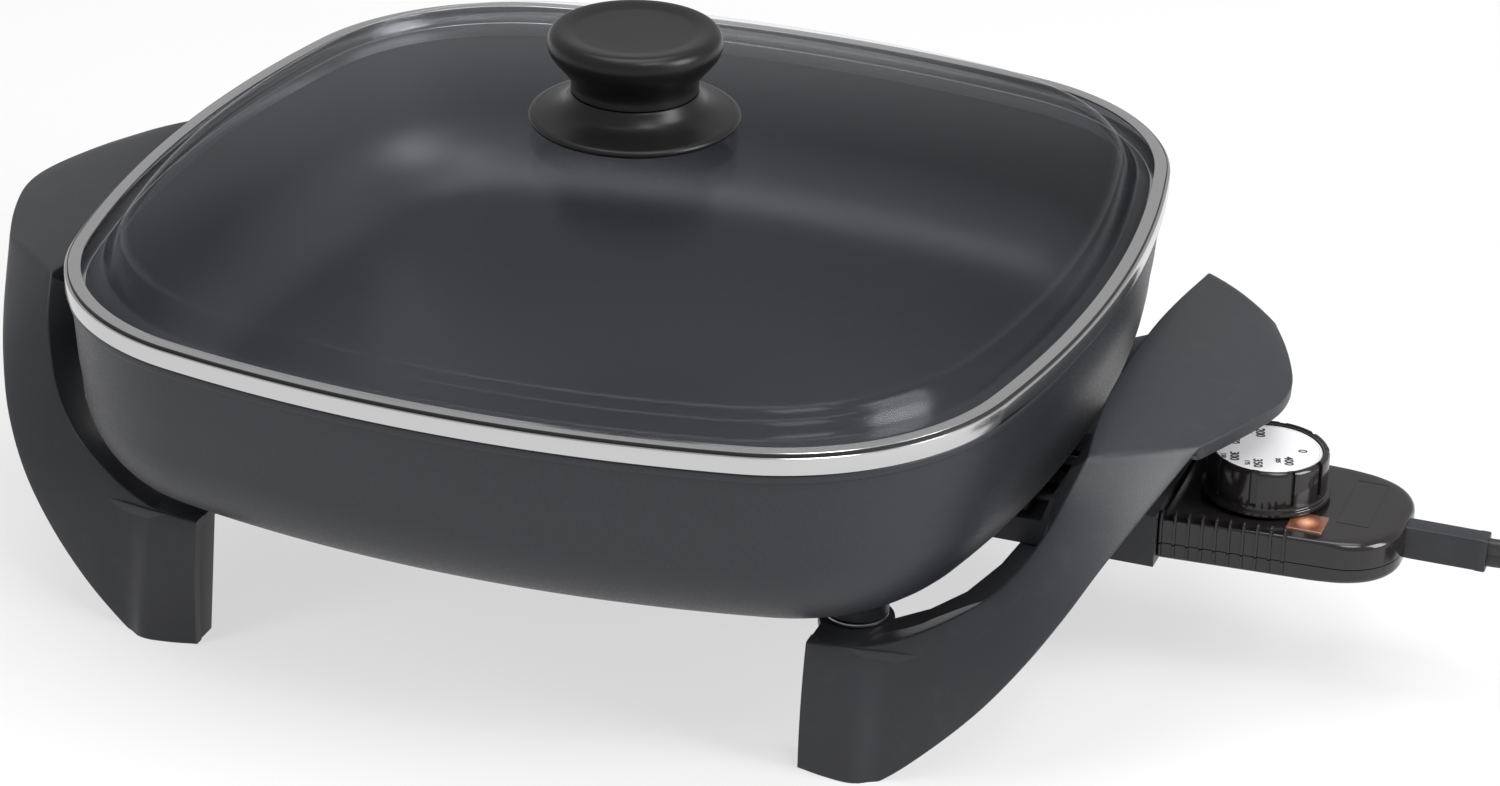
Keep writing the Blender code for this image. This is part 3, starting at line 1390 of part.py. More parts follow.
def resampled(points, spacing):
    """Points at about equal steps along a smooth curve through the route's points."""
    dense = smooth_through(points, DENSE_STEPS)
    lengths = [0.0]
    for before, after in zip(dense, dense[1:]):
        lengths.append(lengths[-1] + (after - before).length)
    steps = max(round(lengths[-1] / spacing), 2)
    even = []
    index = 0
    for step in range(steps + 1):
        goal = lengths[-1] * step / steps
        while index < len(dense) - 2 and lengths[index + 1] < goal:
            index += 1
        share = (goal - lengths[index]) / (lengths[index + 1] - lengths[index])
        even.append(dense[index].lerp(dense[index + 1], min(max(share, 0.0), 1.0)))
    return even


def flat_cord(name, points, finishes, parent, rounds):
    """A flat cord that stands on its edge: a curve raised to a band with round edges, ends filled."""
    curve = bpy.data.curves.new(name, "CURVE")
    curve.dimensions = "3D"
    curve.twist_mode = "Z_UP"
    curve.extrude = (CORD_WIDTH - CORD_THICK) / 2
    curve.bevel_depth = CORD_THICK / 2
    curve.bevel_resolution = rounds
    curve.use_fill_caps = True
    spline = curve.splines.new("POLY")
    spline.points.add(len(points) - 1)
    for point, place in zip(spline.points, points):
        point.co = (*place, 1.0)
    curve.materials.append(finishes["cord_vinyl"])
    made = bpy.data.objects.new(name, curve)
    bpy.context.scene.collection.objects.link(made)
    made.parent = parent


def coil_centre():
    """The cord comes in along +X on the coil's front side, at its largest radius."""
    end = CORD_ROUTE[-1]
    return Vector((RELIEF_END + end[0] + CORD_WIDTH, end[1] + coil_radius(0), 0))


def coil_radius(turns):
    """Distance of the cord's middle from the coil's middle: in at a steady rate, then out again."""
    most = COIL_RADIUS + COIL_PITCH * (COIL_TURNS_IN + COIL_TURNS_CLIMB / 2) / 2
    reverse = COIL_TURNS_IN + COIL_TURNS_CLIMB / 2
    return most - COIL_PITCH * min(turns, 2 * reverse - turns)


def coil_height(turns):
    """Two layers, with the climb in the half turn where the spiral reverses."""
    low = COIL_LIFT + CORD_WIDTH / 2
    share = min(max((turns - COIL_TURNS_IN) / COIL_TURNS_CLIMB, 0.0), 1.0)
    return low + COIL_LAYER * (1 - math.cos(math.pi * share)) / 2


def coil_point(turns):
    angle = 2 * math.pi * turns - math.pi / 2
    out = Vector((math.cos(angle), math.sin(angle), 0))
    return coil_centre() + out * coil_radius(turns) + Vector((0, 0, coil_height(turns)))


def coil_points():
    turns = COIL_TURNS_IN + COIL_TURNS_CLIMB + COIL_TURNS_OUT
    steps = round(turns * COIL_STEPS)
    wound = [coil_point(turns * step / steps) for step in range(steps + 1)]
    straight_in = wound[0] - Vector((CORD_WIDTH, 0, 0))
    straight_out = wound[-1] + Vector((0, CORD_WIDTH, 0))
    return [straight_in] + wound + [straight_out]


def print_coil_gap(points):
    """Least distance between the round-edged bands of different turns."""
    least = None
    for first, a in enumerate(points):
        for b in points[first + COIL_STEPS // 2 :]:
            upright = max(abs(a.z - b.z) - (CORD_WIDTH - CORD_THICK), 0.0)
            gap = math.hypot((a.xy - b.xy).length, upright) - CORD_THICK
            least = gap if least is None else min(least, gap)
    print(f"least gap between the coil's turns: {least * 1000:.2f} mm")


def make_cord(finishes, control):
    start = Vector((RELIEF_END, 0, 0))
    run = [start + Vector(point) for point in CORD_ROUTE]
    run[0] = run[0] + Vector((GAP, 0, 0))
    run[-1] = run[-1] - Vector((GAP, 0, 0))
    flat_cord("power_cord", resampled(run, 2 * CORD_THICK), finishes, control, 2)
    coil = coil_points()
    print_coil_gap(coil)
    flat_cord("cord_coil", coil, finishes, control, 1)
    end = coil[-1]
    lead = [Vector((end.x, end.y, 0)) + Vector(point) for point in LEAD_ROUTE]
    lead[0] = lead[0] + Vector((0, GAP, 0))
    lead_end = lead[-1]
    lead[-1] = lead_end - Vector((0, GAP, 0))
    flat_cord("plug_lead", resampled(lead, 2 * CORD_THICK), finishes, control, 2)
    make_tie(finishes, control)
    make_plug(finishes, control, lead_end)


# Which way each corner of the tie's section lies from its middle
TIE_CORNERS = ((-1, -1), (1, -1), (1, 1), (-1, 1))


def make_tie(finishes, control):
    """A band round the coil's turns at one place."""
    angle = math.radians(TIE_ANGLE)
    turns = (angle + math.pi / 2) / (2 * math.pi)
    near = min(coil_radius(turns), coil_radius(turns + 1)) - CORD_THICK / 2 - TIE_ROOM
    far = max(coil_radius(turns), coil_radius(turns + 1)) + CORD_THICK / 2 + TIE_ROOM
    low = COIL_LIFT - GAP
    high = coil_height(turns + 1) + CORD_WIDTH / 2 + GAP
    section = [(near, low), (far, low), (far, high), (near, high)]
    edge = TIE_THICK
    outer = [(r + edge * out, z + edge * up) for (r, z), (out, up) in zip(section, TIE_CORNERS)]
    out = Vector((math.cos(angle), math.sin(angle), 0))
    along = Vector((-math.sin(angle), math.cos(angle), 0))
    rings = []
    for loop, shift in ((outer, -TIE_HALF), (outer, TIE_HALF), (section, TIE_HALF), (section, -TIE_HALF)):
        rings.append([coil_centre() + out * r + along * shift + Vector((0, 0, z)) for r, z in loop])
    build("cord_tie", loft(rings, closed=True), finishes["cord_vinyl"], control, smooth=False)


def make_plug(finishes, control, end):
    """Flat two-blade plug that lies beside the coil and points along +Y."""
    rings = []
    shoulder = PLUG_LENGTH * PLUG_SHOULDER_SHARE
    rows = [(0, PLUG_EDGE), (shoulder, 0), (PLUG_LENGTH - PLUG_EDGE, 0), (PLUG_LENGTH, PLUG_EDGE / 2)]
    for along, inset in rows:
        wide = PLUG_HALF_WIDTH - inset
        tall = PLUG_HALF_HEIGHT - inset
        cut_off = PLUG_EDGE
        ring = [
            (wide, -tall + cut_off),
            (wide, tall - cut_off),
            (wide - cut_off, tall),
            (-wide + cut_off, tall),
            (-wide, tall - cut_off),
            (-wide, -tall + cut_off),
            (-wide + cut_off, -tall),
            (wide - cut_off, -tall),
        ]
        rings.append([Vector((end.x + x, end.y + along, PLUG_HALF_HEIGHT + GAP + z)) for x, z in ring])
    plug = build("plug_body", loft(rings), finishes["cord_vinyl"], control)
    face = end.y + PLUG_LENGTH
    middle = PLUG_HALF_HEIGHT + GAP
    blades = []
    sinks = []
    for side in (1, -1):
        x = end.x + side * BLADE_SPREAD
        half = PLUG_BLADE_THICK
        low = (x - half, face - PLUG_BLADE_IN, middle - PLUG_BLADE_HALF)
        blades.append(block(low, (x + half, face + PLUG_BLADE_OUT, middle + PLUG_BLADE_HALF)))
        room = (half + GAP, PLUG_BLADE_IN + GAP, PLUG_BLADE_HALF + GAP)
        low = (x - room[0], face - room[1], middle - room[2])
        sinks.append(block(low, (x + room[0], face + OVERRUN, middle + room[2])))
    cut(plug, "plug_sockets_cut", together(*sinks))
    build_each("plug_blade", blades, finishes["brass"], control, smooth=False)


def main():
    for leftover in list(bpy.data.objects):
        bpy.data.objects.remove(leftover)
    finishes = make_materials()
    base = empty("skillet_frame", (ORIGIN_SHIFT, 0, 0))
    lid = empty("lid_lift_axis", (0, 0, 0), base)
    control = empty("control_pull_axis", (0, 0, 0), base)
    dial = empty("dial_turn_axis", (DIAL_X, 0, 0), control)
    make_pan(finishes, base)
    make_element(finishes, base)
    make_handle(finishes, base, "handle_right", 1)
    make_handle(finishes, base, "handle_left", -1)
    make_handle_fasteners(finishes, base)
    make_guard(finishes, base)
    make_lid(finishes, lid)
    make_top_shell(finishes, control)
    make_low_shell(finishes, control)
    make_shell_screws(finishes, control)
    probe_end = make_nose(finishes, control)
    blade_top = make_thermostat(finishes, control, probe_end)
    make_lamp(finishes, control)
    make_dial(finishes, dial, blade_top)
    make_relief(finishes, control)
    make_cord(finishes, control)


HELPER_FINISH = material("helper", (1.0, 0.5, 0.0), 0.5)
main()
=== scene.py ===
"""Electric skillet with a domed glass lid and a plug-in heat control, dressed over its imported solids.

Metres, +Z up, the front is -Y and the heat control leaves the pan towards +X. The pan's centre line stands
at X = PAN_X. Heights and places repeat the driving sizes of the solids."""

import math

import bmesh
import bpy
import numpy as np
from bpy.props import FloatProperty, FloatVectorProperty, IntProperty, PointerProperty
from mathutils import Matrix, Vector
from mathutils.geometry import tessellate_polygon


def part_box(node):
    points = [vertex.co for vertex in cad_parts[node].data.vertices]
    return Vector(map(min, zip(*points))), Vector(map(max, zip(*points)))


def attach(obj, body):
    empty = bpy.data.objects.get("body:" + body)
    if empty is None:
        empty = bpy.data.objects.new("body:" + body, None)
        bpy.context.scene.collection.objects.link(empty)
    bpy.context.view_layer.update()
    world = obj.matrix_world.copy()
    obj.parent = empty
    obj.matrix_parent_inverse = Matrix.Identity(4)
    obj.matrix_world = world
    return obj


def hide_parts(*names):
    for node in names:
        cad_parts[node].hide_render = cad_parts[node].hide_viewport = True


bl_info = {
    "name": "Electric skillet",
    "version": (1, 0, 0),
    "blender": (4, 5, 0),
    "location": "View3D > Sidebar > Skillet",
    "description": "Builds the pan, lid, handles, heat control and cord of an electric skillet",
    "category": "Object",
}

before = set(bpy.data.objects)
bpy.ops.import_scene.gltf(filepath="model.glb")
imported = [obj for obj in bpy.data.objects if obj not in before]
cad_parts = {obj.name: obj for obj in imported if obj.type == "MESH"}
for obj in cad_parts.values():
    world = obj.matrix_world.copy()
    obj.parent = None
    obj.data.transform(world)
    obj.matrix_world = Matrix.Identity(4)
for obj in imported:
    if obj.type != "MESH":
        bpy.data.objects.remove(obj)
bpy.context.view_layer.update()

# Sizes shared with the solids
PAN_X = -0.0315
GAP = 0.0003
PAN_HALF = 0.1544
SIDE_BOW_RADIUS = 0.4168
CORNER_RADIUS = 0.0771
CORNER_TUCK = 1.65
PAN_BASE = 0.0505
PAN_DEPTH = 0.0582
PAN_RIM = PAN_BASE + PAN_DEPTH
PAN_FLOOR = 0.005
PAN_WALL = 0.0035
BASE_BEND = 0.030
WALL_DRAFT = 0.125
LID_HALF = PAN_HALF + 0.0006
LID_SEAT = PAN_RIM + GAP
BAND_SHEET = 0.0008
GLASS_EDGE = LID_HALF - BAND_SHEET - GAP
GLASS_THICK = 0.004
GLASS_SEAT = 0.0075
GLASS_HOLE = 0.0042
SHOULDER_WIDTH = 0.006
SHOULDER_RISE = 0.0078
DOME_RISE = 0.0193
KNOB_RADIUS = 0.0264
KNOB_HEIGHT = 0.01918
DISC_RADIUS = 0.0323
DISC_HEIGHT = 0.0102
AXIS_Z = PAN_BASE - 0.0036
POST_OUT = 0.1045
POST_ALONG = 0.089
POST_PLACES = tuple((x * POST_OUT, y * POST_ALONG) for x in (1, -1) for y in (1, -1))
ELEMENT_HALF = 0.084
ELEMENT_RADIUS = 0.0034
PROBE_RADIUS = 0.003
PIN_Y = 0.013
GUARD_SCREW_X = PAN_HALF - 0.0199
GUARD_SCREW_Y = 0.024
GUARD_SCREW_LOW = 0.0406
FLANGE_TOP = 0.040
GRIP_REACH = 0.0526
GRIP_TOP = 0.092
SKIN = 0.0036
SKIN_CROWN = 0.0012
EDGE_THICK = 0.0019
LIP_START = 0.058
LIP_RISE = 0.027
LIP_DEPTH = 0.0026
RIB_WIDTH = 0.0028
RIB_DEPTH = 0.0165
LOBE_RADIUS = 0.0112
FOOT_SPREAD = 0.1165
CONTROL_START = PAN_HALF + 0.0229
CONTROL_LENGTH = 0.0687
CONTROL_END = CONTROL_START + CONTROL_LENGTH
CONTROL_NEAR_HALF = 0.0276
CONTROL_FAR_HALF = 0.0246
CONTROL_CORNER = 0.018
CONTROL_LOW = AXIS_Z - 0.0047
SEAM_Z = CONTROL_LOW + 0.005
CONTROL_TOP = SEAM_Z + GAP + 0.0081
DIAL_X = CONTROL_START + 0.0251
DIAL_BASE = CONTROL_TOP + 0.001
DIAL_TOP = DIAL_BASE + 0.0143
LENS_X = CONTROL_START + 0.0414
RELIEF_END = CONTROL_END + 0.024
CORD_WIDTH = 0.0086
CORD_THICK = 0.0048


# Shapes: points and faces as whole arrays


class Form:
    """Points, and faces as arrays with one row of point numbers for each face."""

    def __init__(self, points, faces):
        self.points = np.asarray(points, float).reshape(-1, 3)
        self.faces = [np.asarray(group, int) for group in faces if len(group)]

    def __add__(self, other):
        shift = len(self.points)
        return Form(np.vstack([self.points, other.points]), self.faces + [g + shift for g in other.faces])

    def moved(self, x=0.0, y=0.0, z=0.0):
        """The same form elsewhere."""
        return Form(self.points + np.array([x, y, z]), self.faces)

    def flipped(self, x=1, y=1, z=1):
        """The same form with some axes reversed."""
        return Form(self.points * np.array([x, y, z]), self.faces)

    def turned(self, angle):
        """Turned about the vertical axis."""
        c, s = math.cos(angle), math.sin(angle)
        return Form(self.points @ np.array([[c, s, 0], [-s, c, 0], [0, 0, 1]]), self.faces)


def surface(points, close_rows=False, close_columns=False, caps=False):
    """Quads over a grid of points, each between two neighbouring rows and columns. A closed grid joins its
    last row or column to its first, and caps fill the first and the last row."""
    rows, columns = points.shape[:2]
    index = np.arange(rows * columns).reshape(rows, columns)
    ends = [index[:1, ::-1], index[-1:, :]] if caps else []
    if close_rows:
        index = np.vstack([index, index[:1]])
    if close_columns:
        index = np.hstack([index, index[:, :1]])
    quads = np.stack([index[:-1, :-1], index[:-1, 1:], index[1:, 1:], index[1:, :-1]], -1).reshape(-1, 4)
    return Form(points, [quads] + ends)


def joined(forms):
    """One form of several."""
    made = forms[0]
    for form in forms[1:]:
        made = made + form
    return made


def capped(rings):
    """A solid of closed rings, with its first and its last ring filled."""
    return surface(rings, close_columns=True, caps=True)


def looped(rings):
    """A solid of closed rings, the last of which joins the first."""
    return surface(rings, close_rows=True, close_columns=True)


def unit(vectors):
    """Vectors divided by their own length; a vector of no length stays as it is."""
    return vectors / np.maximum(np.linalg.norm(vectors, axis=-1, keepdims=True), 1e-12)


def round_angles(steps):
    """Even angles round a full turn."""
    return np.arange(steps) * 2 * math.pi / steps


def smooth_step(t):
    """0 up to 0, 1 from 1 on, and t t (3 - 2 t) between."""
    t = np.clip(t, 0, 1)
    return t * t * (3 - 2 * t)


def fuller(wave, power):
    """A sine or cosine raised to a power with its sign kept; a power below 1 squares a circle off."""
    return np.sign(wave) * np.abs(wave) ** power


def quarter(ease, steps):
    """How far a rounded edge stands off its two faces, from where it leaves the first to where it meets
    the second: radius * (1 - sine) and radius * (1 - cosine)."""
    turn = np.linspace(0, math.pi / 2, steps + 1)
    return ease * (1 - np.sin(turn)), ease * (1 - np.cos(turn))


def eased(corners, radii, steps=4):
    """A closed flat outline, or a stack of them, with every corner replaced by an arc that touches both of
    its sides. The arc's middle lies on the corner's bisector at radius / sin(half the corner's angle)."""
    corners = np.asarray(corners, float)
    radii = np.broadcast_to(np.asarray(radii, float), corners.shape[:-1])[..., None]
    back = unit(np.roll(corners, 1, -2) - corners)
    on = unit(np.roll(corners, -1, -2) - corners)
    half = np.arccos(np.clip((back * on).sum(-1, keepdims=True), -1, 1)) / 2
    half = np.maximum(half, 0.05)
    middle = corners + unit(back + on) * radii / np.sin(half)
    reach = radii / np.tan(half)
    start = corners + back * reach - middle
    end = corners + on * reach - middle
    first = np.arctan2(start[..., 1], start[..., 0])
    sweep = (np.arctan2(end[..., 1], end[..., 0]) - first + math.pi) % (2 * math.pi) - math.pi
    angle = first[..., None] + sweep[..., None] * np.linspace(0, 1, steps + 1)
    arc = middle[..., None, :] + radii[..., None] * np.stack([np.cos(angle), np.sin(angle)], -1)
    return arc.reshape(*corners.shape[:-2], -1, 2)


def block(low, high, ease, steps=3):
    """A flat rectangle between two of its corners, with every corner rounded."""
    return eased([(low[0], low[1]), (high[0], low[1]), (high[0], high[1]), (low[0], high[1])], ease, steps)


def smooth_curve(points, spans):
    """Catmull-Rom curve through the points, with a number of even steps between each two of them."""
    points = np.asarray(points, float)
    padded = np.vstack([2 * points[0] - points[1], points, 2 * points[-1] - points[-2]])
    before, start, end, after = (padded[k : len(padded) - 3 + k][:, None] for k in range(4))
    t = (np.arange(spans) / spans)[None, :, None]
    bend = (2 * before - 5 * start + 4 * end - after) * t**2
    twist = (3 * start - before - 3 * end + after) * t**3
    curve = (2 * start + (end - before) * t + bend + twist) / 2
    return np.vstack([curve.reshape(-1, points.shape[1]), points[-1:]])


def evenly(path, count):
    """Points at even steps of length along a path."""
    length = np.concatenate([[0], np.cumsum(np.linalg.norm(np.diff(path, axis=0), axis=1))])
    goal = np.linspace(0, length[-1], count)
    return np.stack([np.interp(goal, length, path[:, axis]) for axis in range(path.shape[1])], -1)


def turned(profile, steps=96, closed=False):
    """A profile of (radius, height) points carried round a vertical axis: x and y are the radius times the
    cosine and sine of each angle. A closed profile makes a ring."""
    profile = np.asarray(profile, float)
    angle = round_angles(steps)[:, None]
    radius, height = profile[None, :, 0], profile[None, :, 1]
    points = np.stack([radius * np.cos(angle), radius * np.sin(angle), height + 0 * angle], -1)
    return surface(points, close_rows=True, close_columns=closed)


def laid(form):
    """The form with its height turned to run along +X."""
    points = form.points
    return Form(np.stack([points[:, 2], points[:, 1], -points[:, 0]], -1), form.faces)


def rounded_square(half, side_radius, corner_radius, side_steps=30, corner_steps=36):
    """Rings of four wide side arcs and four corner arcs, all tangent. The side arc's middle is at half minus
    its radius, and the corner's middle is where both arcs touch."""
    sizes = np.broadcast_arrays(half, side_radius, corner_radius)
    half, side, corner = (np.asarray(size, float).reshape(-1, 1) for size in sizes)
    bow = side - half
    middle = (np.sqrt(np.maximum(2 * (side - corner) ** 2 - bow**2, 0)) - bow) / 2
    turn = np.arctan2(middle, middle + bow)
    a = turn * np.linspace(-1, 1, side_steps, endpoint=False)
    b = turn + (math.pi / 2 - 2 * turn) * np.linspace(0, 1, corner_steps, endpoint=False)
    x = np.hstack([half - side + side * np.cos(a), middle + corner * np.cos(b)])
    y = np.hstack([side * np.sin(a), middle + corner * np.sin(b)])
    return np.stack([np.hstack([x, -y, -x, y]), np.hstack([y, x, -y, -x])], -1)


def at_heights(rings, heights):
    """Flat rings of points, each lifted to its own height."""
    lift = np.broadcast_to(np.asarray(heights, float)[:, None, None], rings.shape[:2] + (1,))
    return np.concatenate([rings, lift], -1)


def pan_rings(inset, height, tuck=1.0, half=PAN_HALF):
    """The pan's outline drawn in by each inset; a tuck above 1 tightens its corners on the way in."""
    inset = np.asarray(inset, float)
    rings = rounded_square(half - inset, SIDE_BOW_RADIUS - inset, CORNER_RADIUS - tuck * inset)
    return at_heights(rings, np.broadcast_to(height, inset.shape))


def drawn_in(ring, shares):
    """Copies of a ring shrunk towards its middle, for a floor or a top."""
    middle = ring.mean(0)
    return middle + (ring - middle) * np.asarray(shares, float)[:, None, None]


def swept(path, section):
    """A closed section of (across, up) points carried along a path. Across is at right angles to the path
    and to the vertical, and the section stays square to the path."""
    ahead = unit(np.gradient(path, axis=0))
    across = unit(np.cross(ahead, np.array([0.0, 0.0, 1.0])))
    rise = unit(np.cross(across, ahead))
    points = path[:, None] + across[:, None] * section[None, :, :1] + rise[:, None] * section[None, :, 1:]
    return capped(points)


def circle(radius, steps=24):
    """A flat round outline."""
    angle = round_angles(steps)
    return np.stack([radius * np.cos(angle), radius * np.sin(angle)], -1)


def bent_path(corners, bends, steps=10):
    """A path with its inner corners rounded: each corner gives way to an arc of its own radius."""
    corners = np.asarray(corners, float)
    here = corners[1:-1]
    back, on = unit(corners[:-2] - here), unit(corners[2:] - here)
    bends = np.asarray(bends, float)[:, None]
    half = np.arccos(np.clip((back * on).sum(-1, keepdims=True), -1, 1)) / 2
    middle = here + unit(back + on) * bends / np.sin(half)
    start, end = (here + way * bends / np.tan(half) - middle for way in (back, on))
    sweep = math.pi - 2 * half
    t = np.linspace(0, 1, steps + 1)[None, :, None]
    share = sweep[:, None]
    arc = (start[:, None] * np.sin((1 - t) * share) + end[:, None] * np.sin(t * share)) / np.sin(share)
    return np.vstack([corners[:1], (middle[:, None] + arc).reshape(-1, 3), corners[-1:]])


def slab(outline, low, high, ease=0.0006, steps=3):
    """A flat outline carried from one height to another, with its upper and lower edges rounded. The
    outline is drawn in along its own normals, which are the path's direction turned a quarter."""
    outline = np.asarray(outline, float)
    ahead = unit(np.roll(outline, -1, 0) - np.roll(outline, 1, 0))
    out = np.stack([ahead[:, 1], -ahead[:, 0]], -1)
    area = (outline[:, 0] * np.roll(outline[:, 1], -1) - np.roll(outline[:, 0], -1) * outline[:, 1]).sum()
    out = out if area > 0 else -out
    early, late = quarter(ease, steps)
    inset = np.concatenate([early, late])
    height = np.concatenate([low + late, high - early])
    rings = outline[None] - out[None] * inset[:, None, None]
    return capped(at_heights(rings, height))


# Materials


class Value:
    """A number in a material's node tree. Arithmetic on it adds Math nodes."""

    def __init__(self, graph, socket):
        self.graph = graph
        self.socket = socket

    def worked(self, operation, *values):
        """A Math node on some values."""
        return self.graph.add("ShaderNodeMath", {"operation": operation}, dict(enumerate(values)))

    def __add__(self, other):
        return self.worked("ADD", self, other)

    def __sub__(self, other):
        return self.worked("SUBTRACT", self, other)

    def __rsub__(self, other):
        return self.worked("SUBTRACT", other, self)

    def __mul__(self, other):
        return self.worked("MULTIPLY", self, other)

    def __pow__(self, other):
        return self.worked("POWER", self, other)

    def above(self, edge):
        """1 above the edge, else 0."""
        return self.worked("GREATER_THAN", self, edge)

    def clamped(self):
        """Held between 0 and 1."""
        return self.worked("MINIMUM", self.worked("MAXIMUM", self, 0.0), 1.0)

    __radd__ = __add__
    __rmul__ = __mul__


class Graph:
    """A new material, whose nodes are added by one method."""

    def __init__(self, name, **shader_values):
        self.material = bpy.data.materials.new(name)
        self.material.use_nodes = True
        self.nodes = self.material.node_tree.nodes
        self.shader = self.nodes["Principled BSDF"]
        for socket, value in shader_values.items():
            self.feed(self.shader, socket.replace("_", " "), value)

    def feed(self, node, socket, value):
        """A link from another node, or a plain value, into a socket."""
        target = node.inputs[socket]
        if isinstance(value, Value):
            self.material.node_tree.links.new(value.socket, target)
        elif isinstance(value, (tuple, list)) and target.type == "RGBA" and len(value) == 3:
            target.default_value = (*value, 1.0)
        else:
            target.default_value = value

    def add(self, kind, settings=None, inputs=None, output=0):
        """A node of a type, with its settings set first and then its sockets fed."""
        node = self.nodes.new(kind)
        for name, value in (settings or {}).items():
            setattr(node, name, value)
        for name, value in (inputs or {}).items():
            self.feed(node, name, value)
        return Value(self, node.outputs[output])

    def set(self, **values):
        """Feeds sockets of the main shader."""
        for socket, value in values.items():
            self.feed(self.shader, socket.replace("_", " "), value)

    def place(self, scale=(1, 1, 1), shift=(0, 0, 0)):
        """Object coordinates, in metres, moved and stretched."""
        where = self.add("ShaderNodeTexCoord", output="Object")
        return self.add("ShaderNodeMapping", None, {"Vector": where, "Location": shift, "Scale": scale})

    def noise(self, scale, detail=2.0, roughness=0.5, stretch=(1, 1, 1)):
        """Noise from 0 to 1 whose cells are about 1 / scale metres across."""
        values = {"Vector": self.place(stretch), "Scale": scale, "Detail": detail, "Roughness": roughness}
        return self.add("ShaderNodeTexNoise", None, values)

    def blend(self, share, first, second):
        """A colour between two colours."""
        return self.add("ShaderNodeMix", {"data_type": "RGBA"}, {"Factor": share, 6: first, 7: second}, 2)

    def bump(self, height, distance):
        """Relief on the main shader, in metres."""
        values = {"Height": height, "Distance": distance, "Strength": 1.0}
        self.set(Normal=self.add("ShaderNodeBump", None, values))


def mix_to_output(tree, output, share, first, second):
    """Sends two shaders to the output, mixed by the share of the second."""
    mixed = tree.nodes.new("ShaderNodeMixShader")
    for source, target in zip((share, first, second), mixed.inputs):
        tree.links.new(source, target)
    tree.links.new(mixed.outputs[0], tree.nodes[output].inputs["Surface"])


def scaled(colour, factor):
    """A darker or lighter copy of a colour."""
    return tuple(part * factor for part in colour)


def moulding(name, colour, roughness, grain, depth, shine=0.36):
    """Moulded plastic: a fine grain, slow changes of gloss, and faint rubbed patches that are lighter."""
    graph = Graph(name, Specular_IOR_Level=shine)
    fine = graph.noise(grain, 3.0)
    slow = graph.noise(38.0, 2.0)
    rubbed = ((graph.noise(160.0, 4.0, 0.62) - 0.54) * 5.0).clamped()
    lighter = tuple(min(c * 1.28 + 0.002, 1.0) for c in colour)
    graph.set(Base_Color=graph.blend(rubbed * 0.55, colour, lighter))
    graph.set(Roughness=slow * 0.10 + fine * 0.05 + (roughness - 0.075))
    graph.bump(fine, depth)
    return graph.material


def pan_coating(name, colour, fleck):
    """Non-stick coating: dark grey with a fine metallic fleck, in random cells under half a millimetre."""
    graph = Graph(name, Specular_IOR_Level=0.5)
    cells = graph.add("ShaderNodeTexVoronoi", None, {"Vector": graph.place(), "Scale": 1.0 / fleck}, "Color")
    pick = graph.add("ShaderNodeSeparateColor", None, {"Color": cells})
    bright = ((pick - 0.78) * 6.0).clamped()
    cloud = graph.noise(24.0, 3.0)
    base = graph.blend(cloud, scaled(colour, 0.90), scaled(colour, 1.10))
    graph.set(Base_Color=graph.blend(bright, base, scaled(colour, 2.8)))
    graph.set(Metallic=bright * 0.6)
    graph.set(Roughness=0.43 - bright * 0.12 + cloud * 0.06)
    graph.bump(pick + graph.noise(900.0, 2.0), 0.000012)
    return graph.material


def brushed_metal(name, colour, roughness, lines=(30, 30, 5200), depth=0.000008, spots=0.0):
    """Metal with fine lines that run at right angles to the tightest axis, and a few dull spots."""
    graph = Graph(name, Metallic=1.0)
    line = graph.noise(1.0, 3.0, 0.6, lines)
    slow = graph.noise(60.0, 3.0)
    dull = ((graph.noise(420.0, 3.0) - 0.60) * 6.0).clamped()
    graph.set(Base_Color=graph.blend(dull * spots, colour, scaled(colour, 0.45)))
    graph.set(Roughness=line * 0.10 + slow * 0.06 + dull * spots * 0.3 + (roughness - 0.08))
    graph.bump(line, depth)
    return graph.material


def glazed(name, colour, roughness, speck):
    """Fired ceramic or moulded insulator, with darker specks."""
    graph = Graph(name)
    specks = ((graph.noise(2600.0, 2.0) - 0.62) * 8.0).clamped()
    graph.set(Base_Color=graph.blend(specks * speck, colour, scaled(colour, 0.35)))
    graph.set(Roughness=graph.noise(300.0) * 0.2 + (roughness - 0.1))
    graph.bump(graph.noise(1500.0), 0.00003)
    return graph.material


def clear_glass(name, tint, haze):
    """Thin clear glass: see-through where looked at squarely, and a mirror at a glancing angle. The share
    that is mirrored follows (1 - cosine) ^ 5, with faint rub marks and painted highlight lines on the
    shoulder."""
    graph = Graph(name, Base_Color=tint, Metallic=1.0, Roughness=0.15)
    marks = ((graph.noise(22.0, 5.0, 0.6) - 0.5) * 1.6).clamped()
    facing = graph.add("ShaderNodeLayerWeight", None, {"Blend": 0.5}, "Facing")
    line = graph.add("ShaderNodeAttribute", {"attribute_name": "line"}, None, "Fac")
    share = (facing**5.0) * 0.30 + marks * haze * 0.5 + (haze + 0.006)
    # Painted highlight: the point attribute line adds mirror along two bands of the shoulder, standing in for
    # its light lines.
    share = (share + line * (facing**4.0) * 0.7).clamped()
    through = graph.add("ShaderNodeBsdfTransparent", None, {"Color": (0.96, 0.963, 0.972)})
    tree = graph.material.node_tree
    mix_to_output(tree, "Material Output", share.socket, through.socket, graph.shader.outputs[0])
    return graph.material


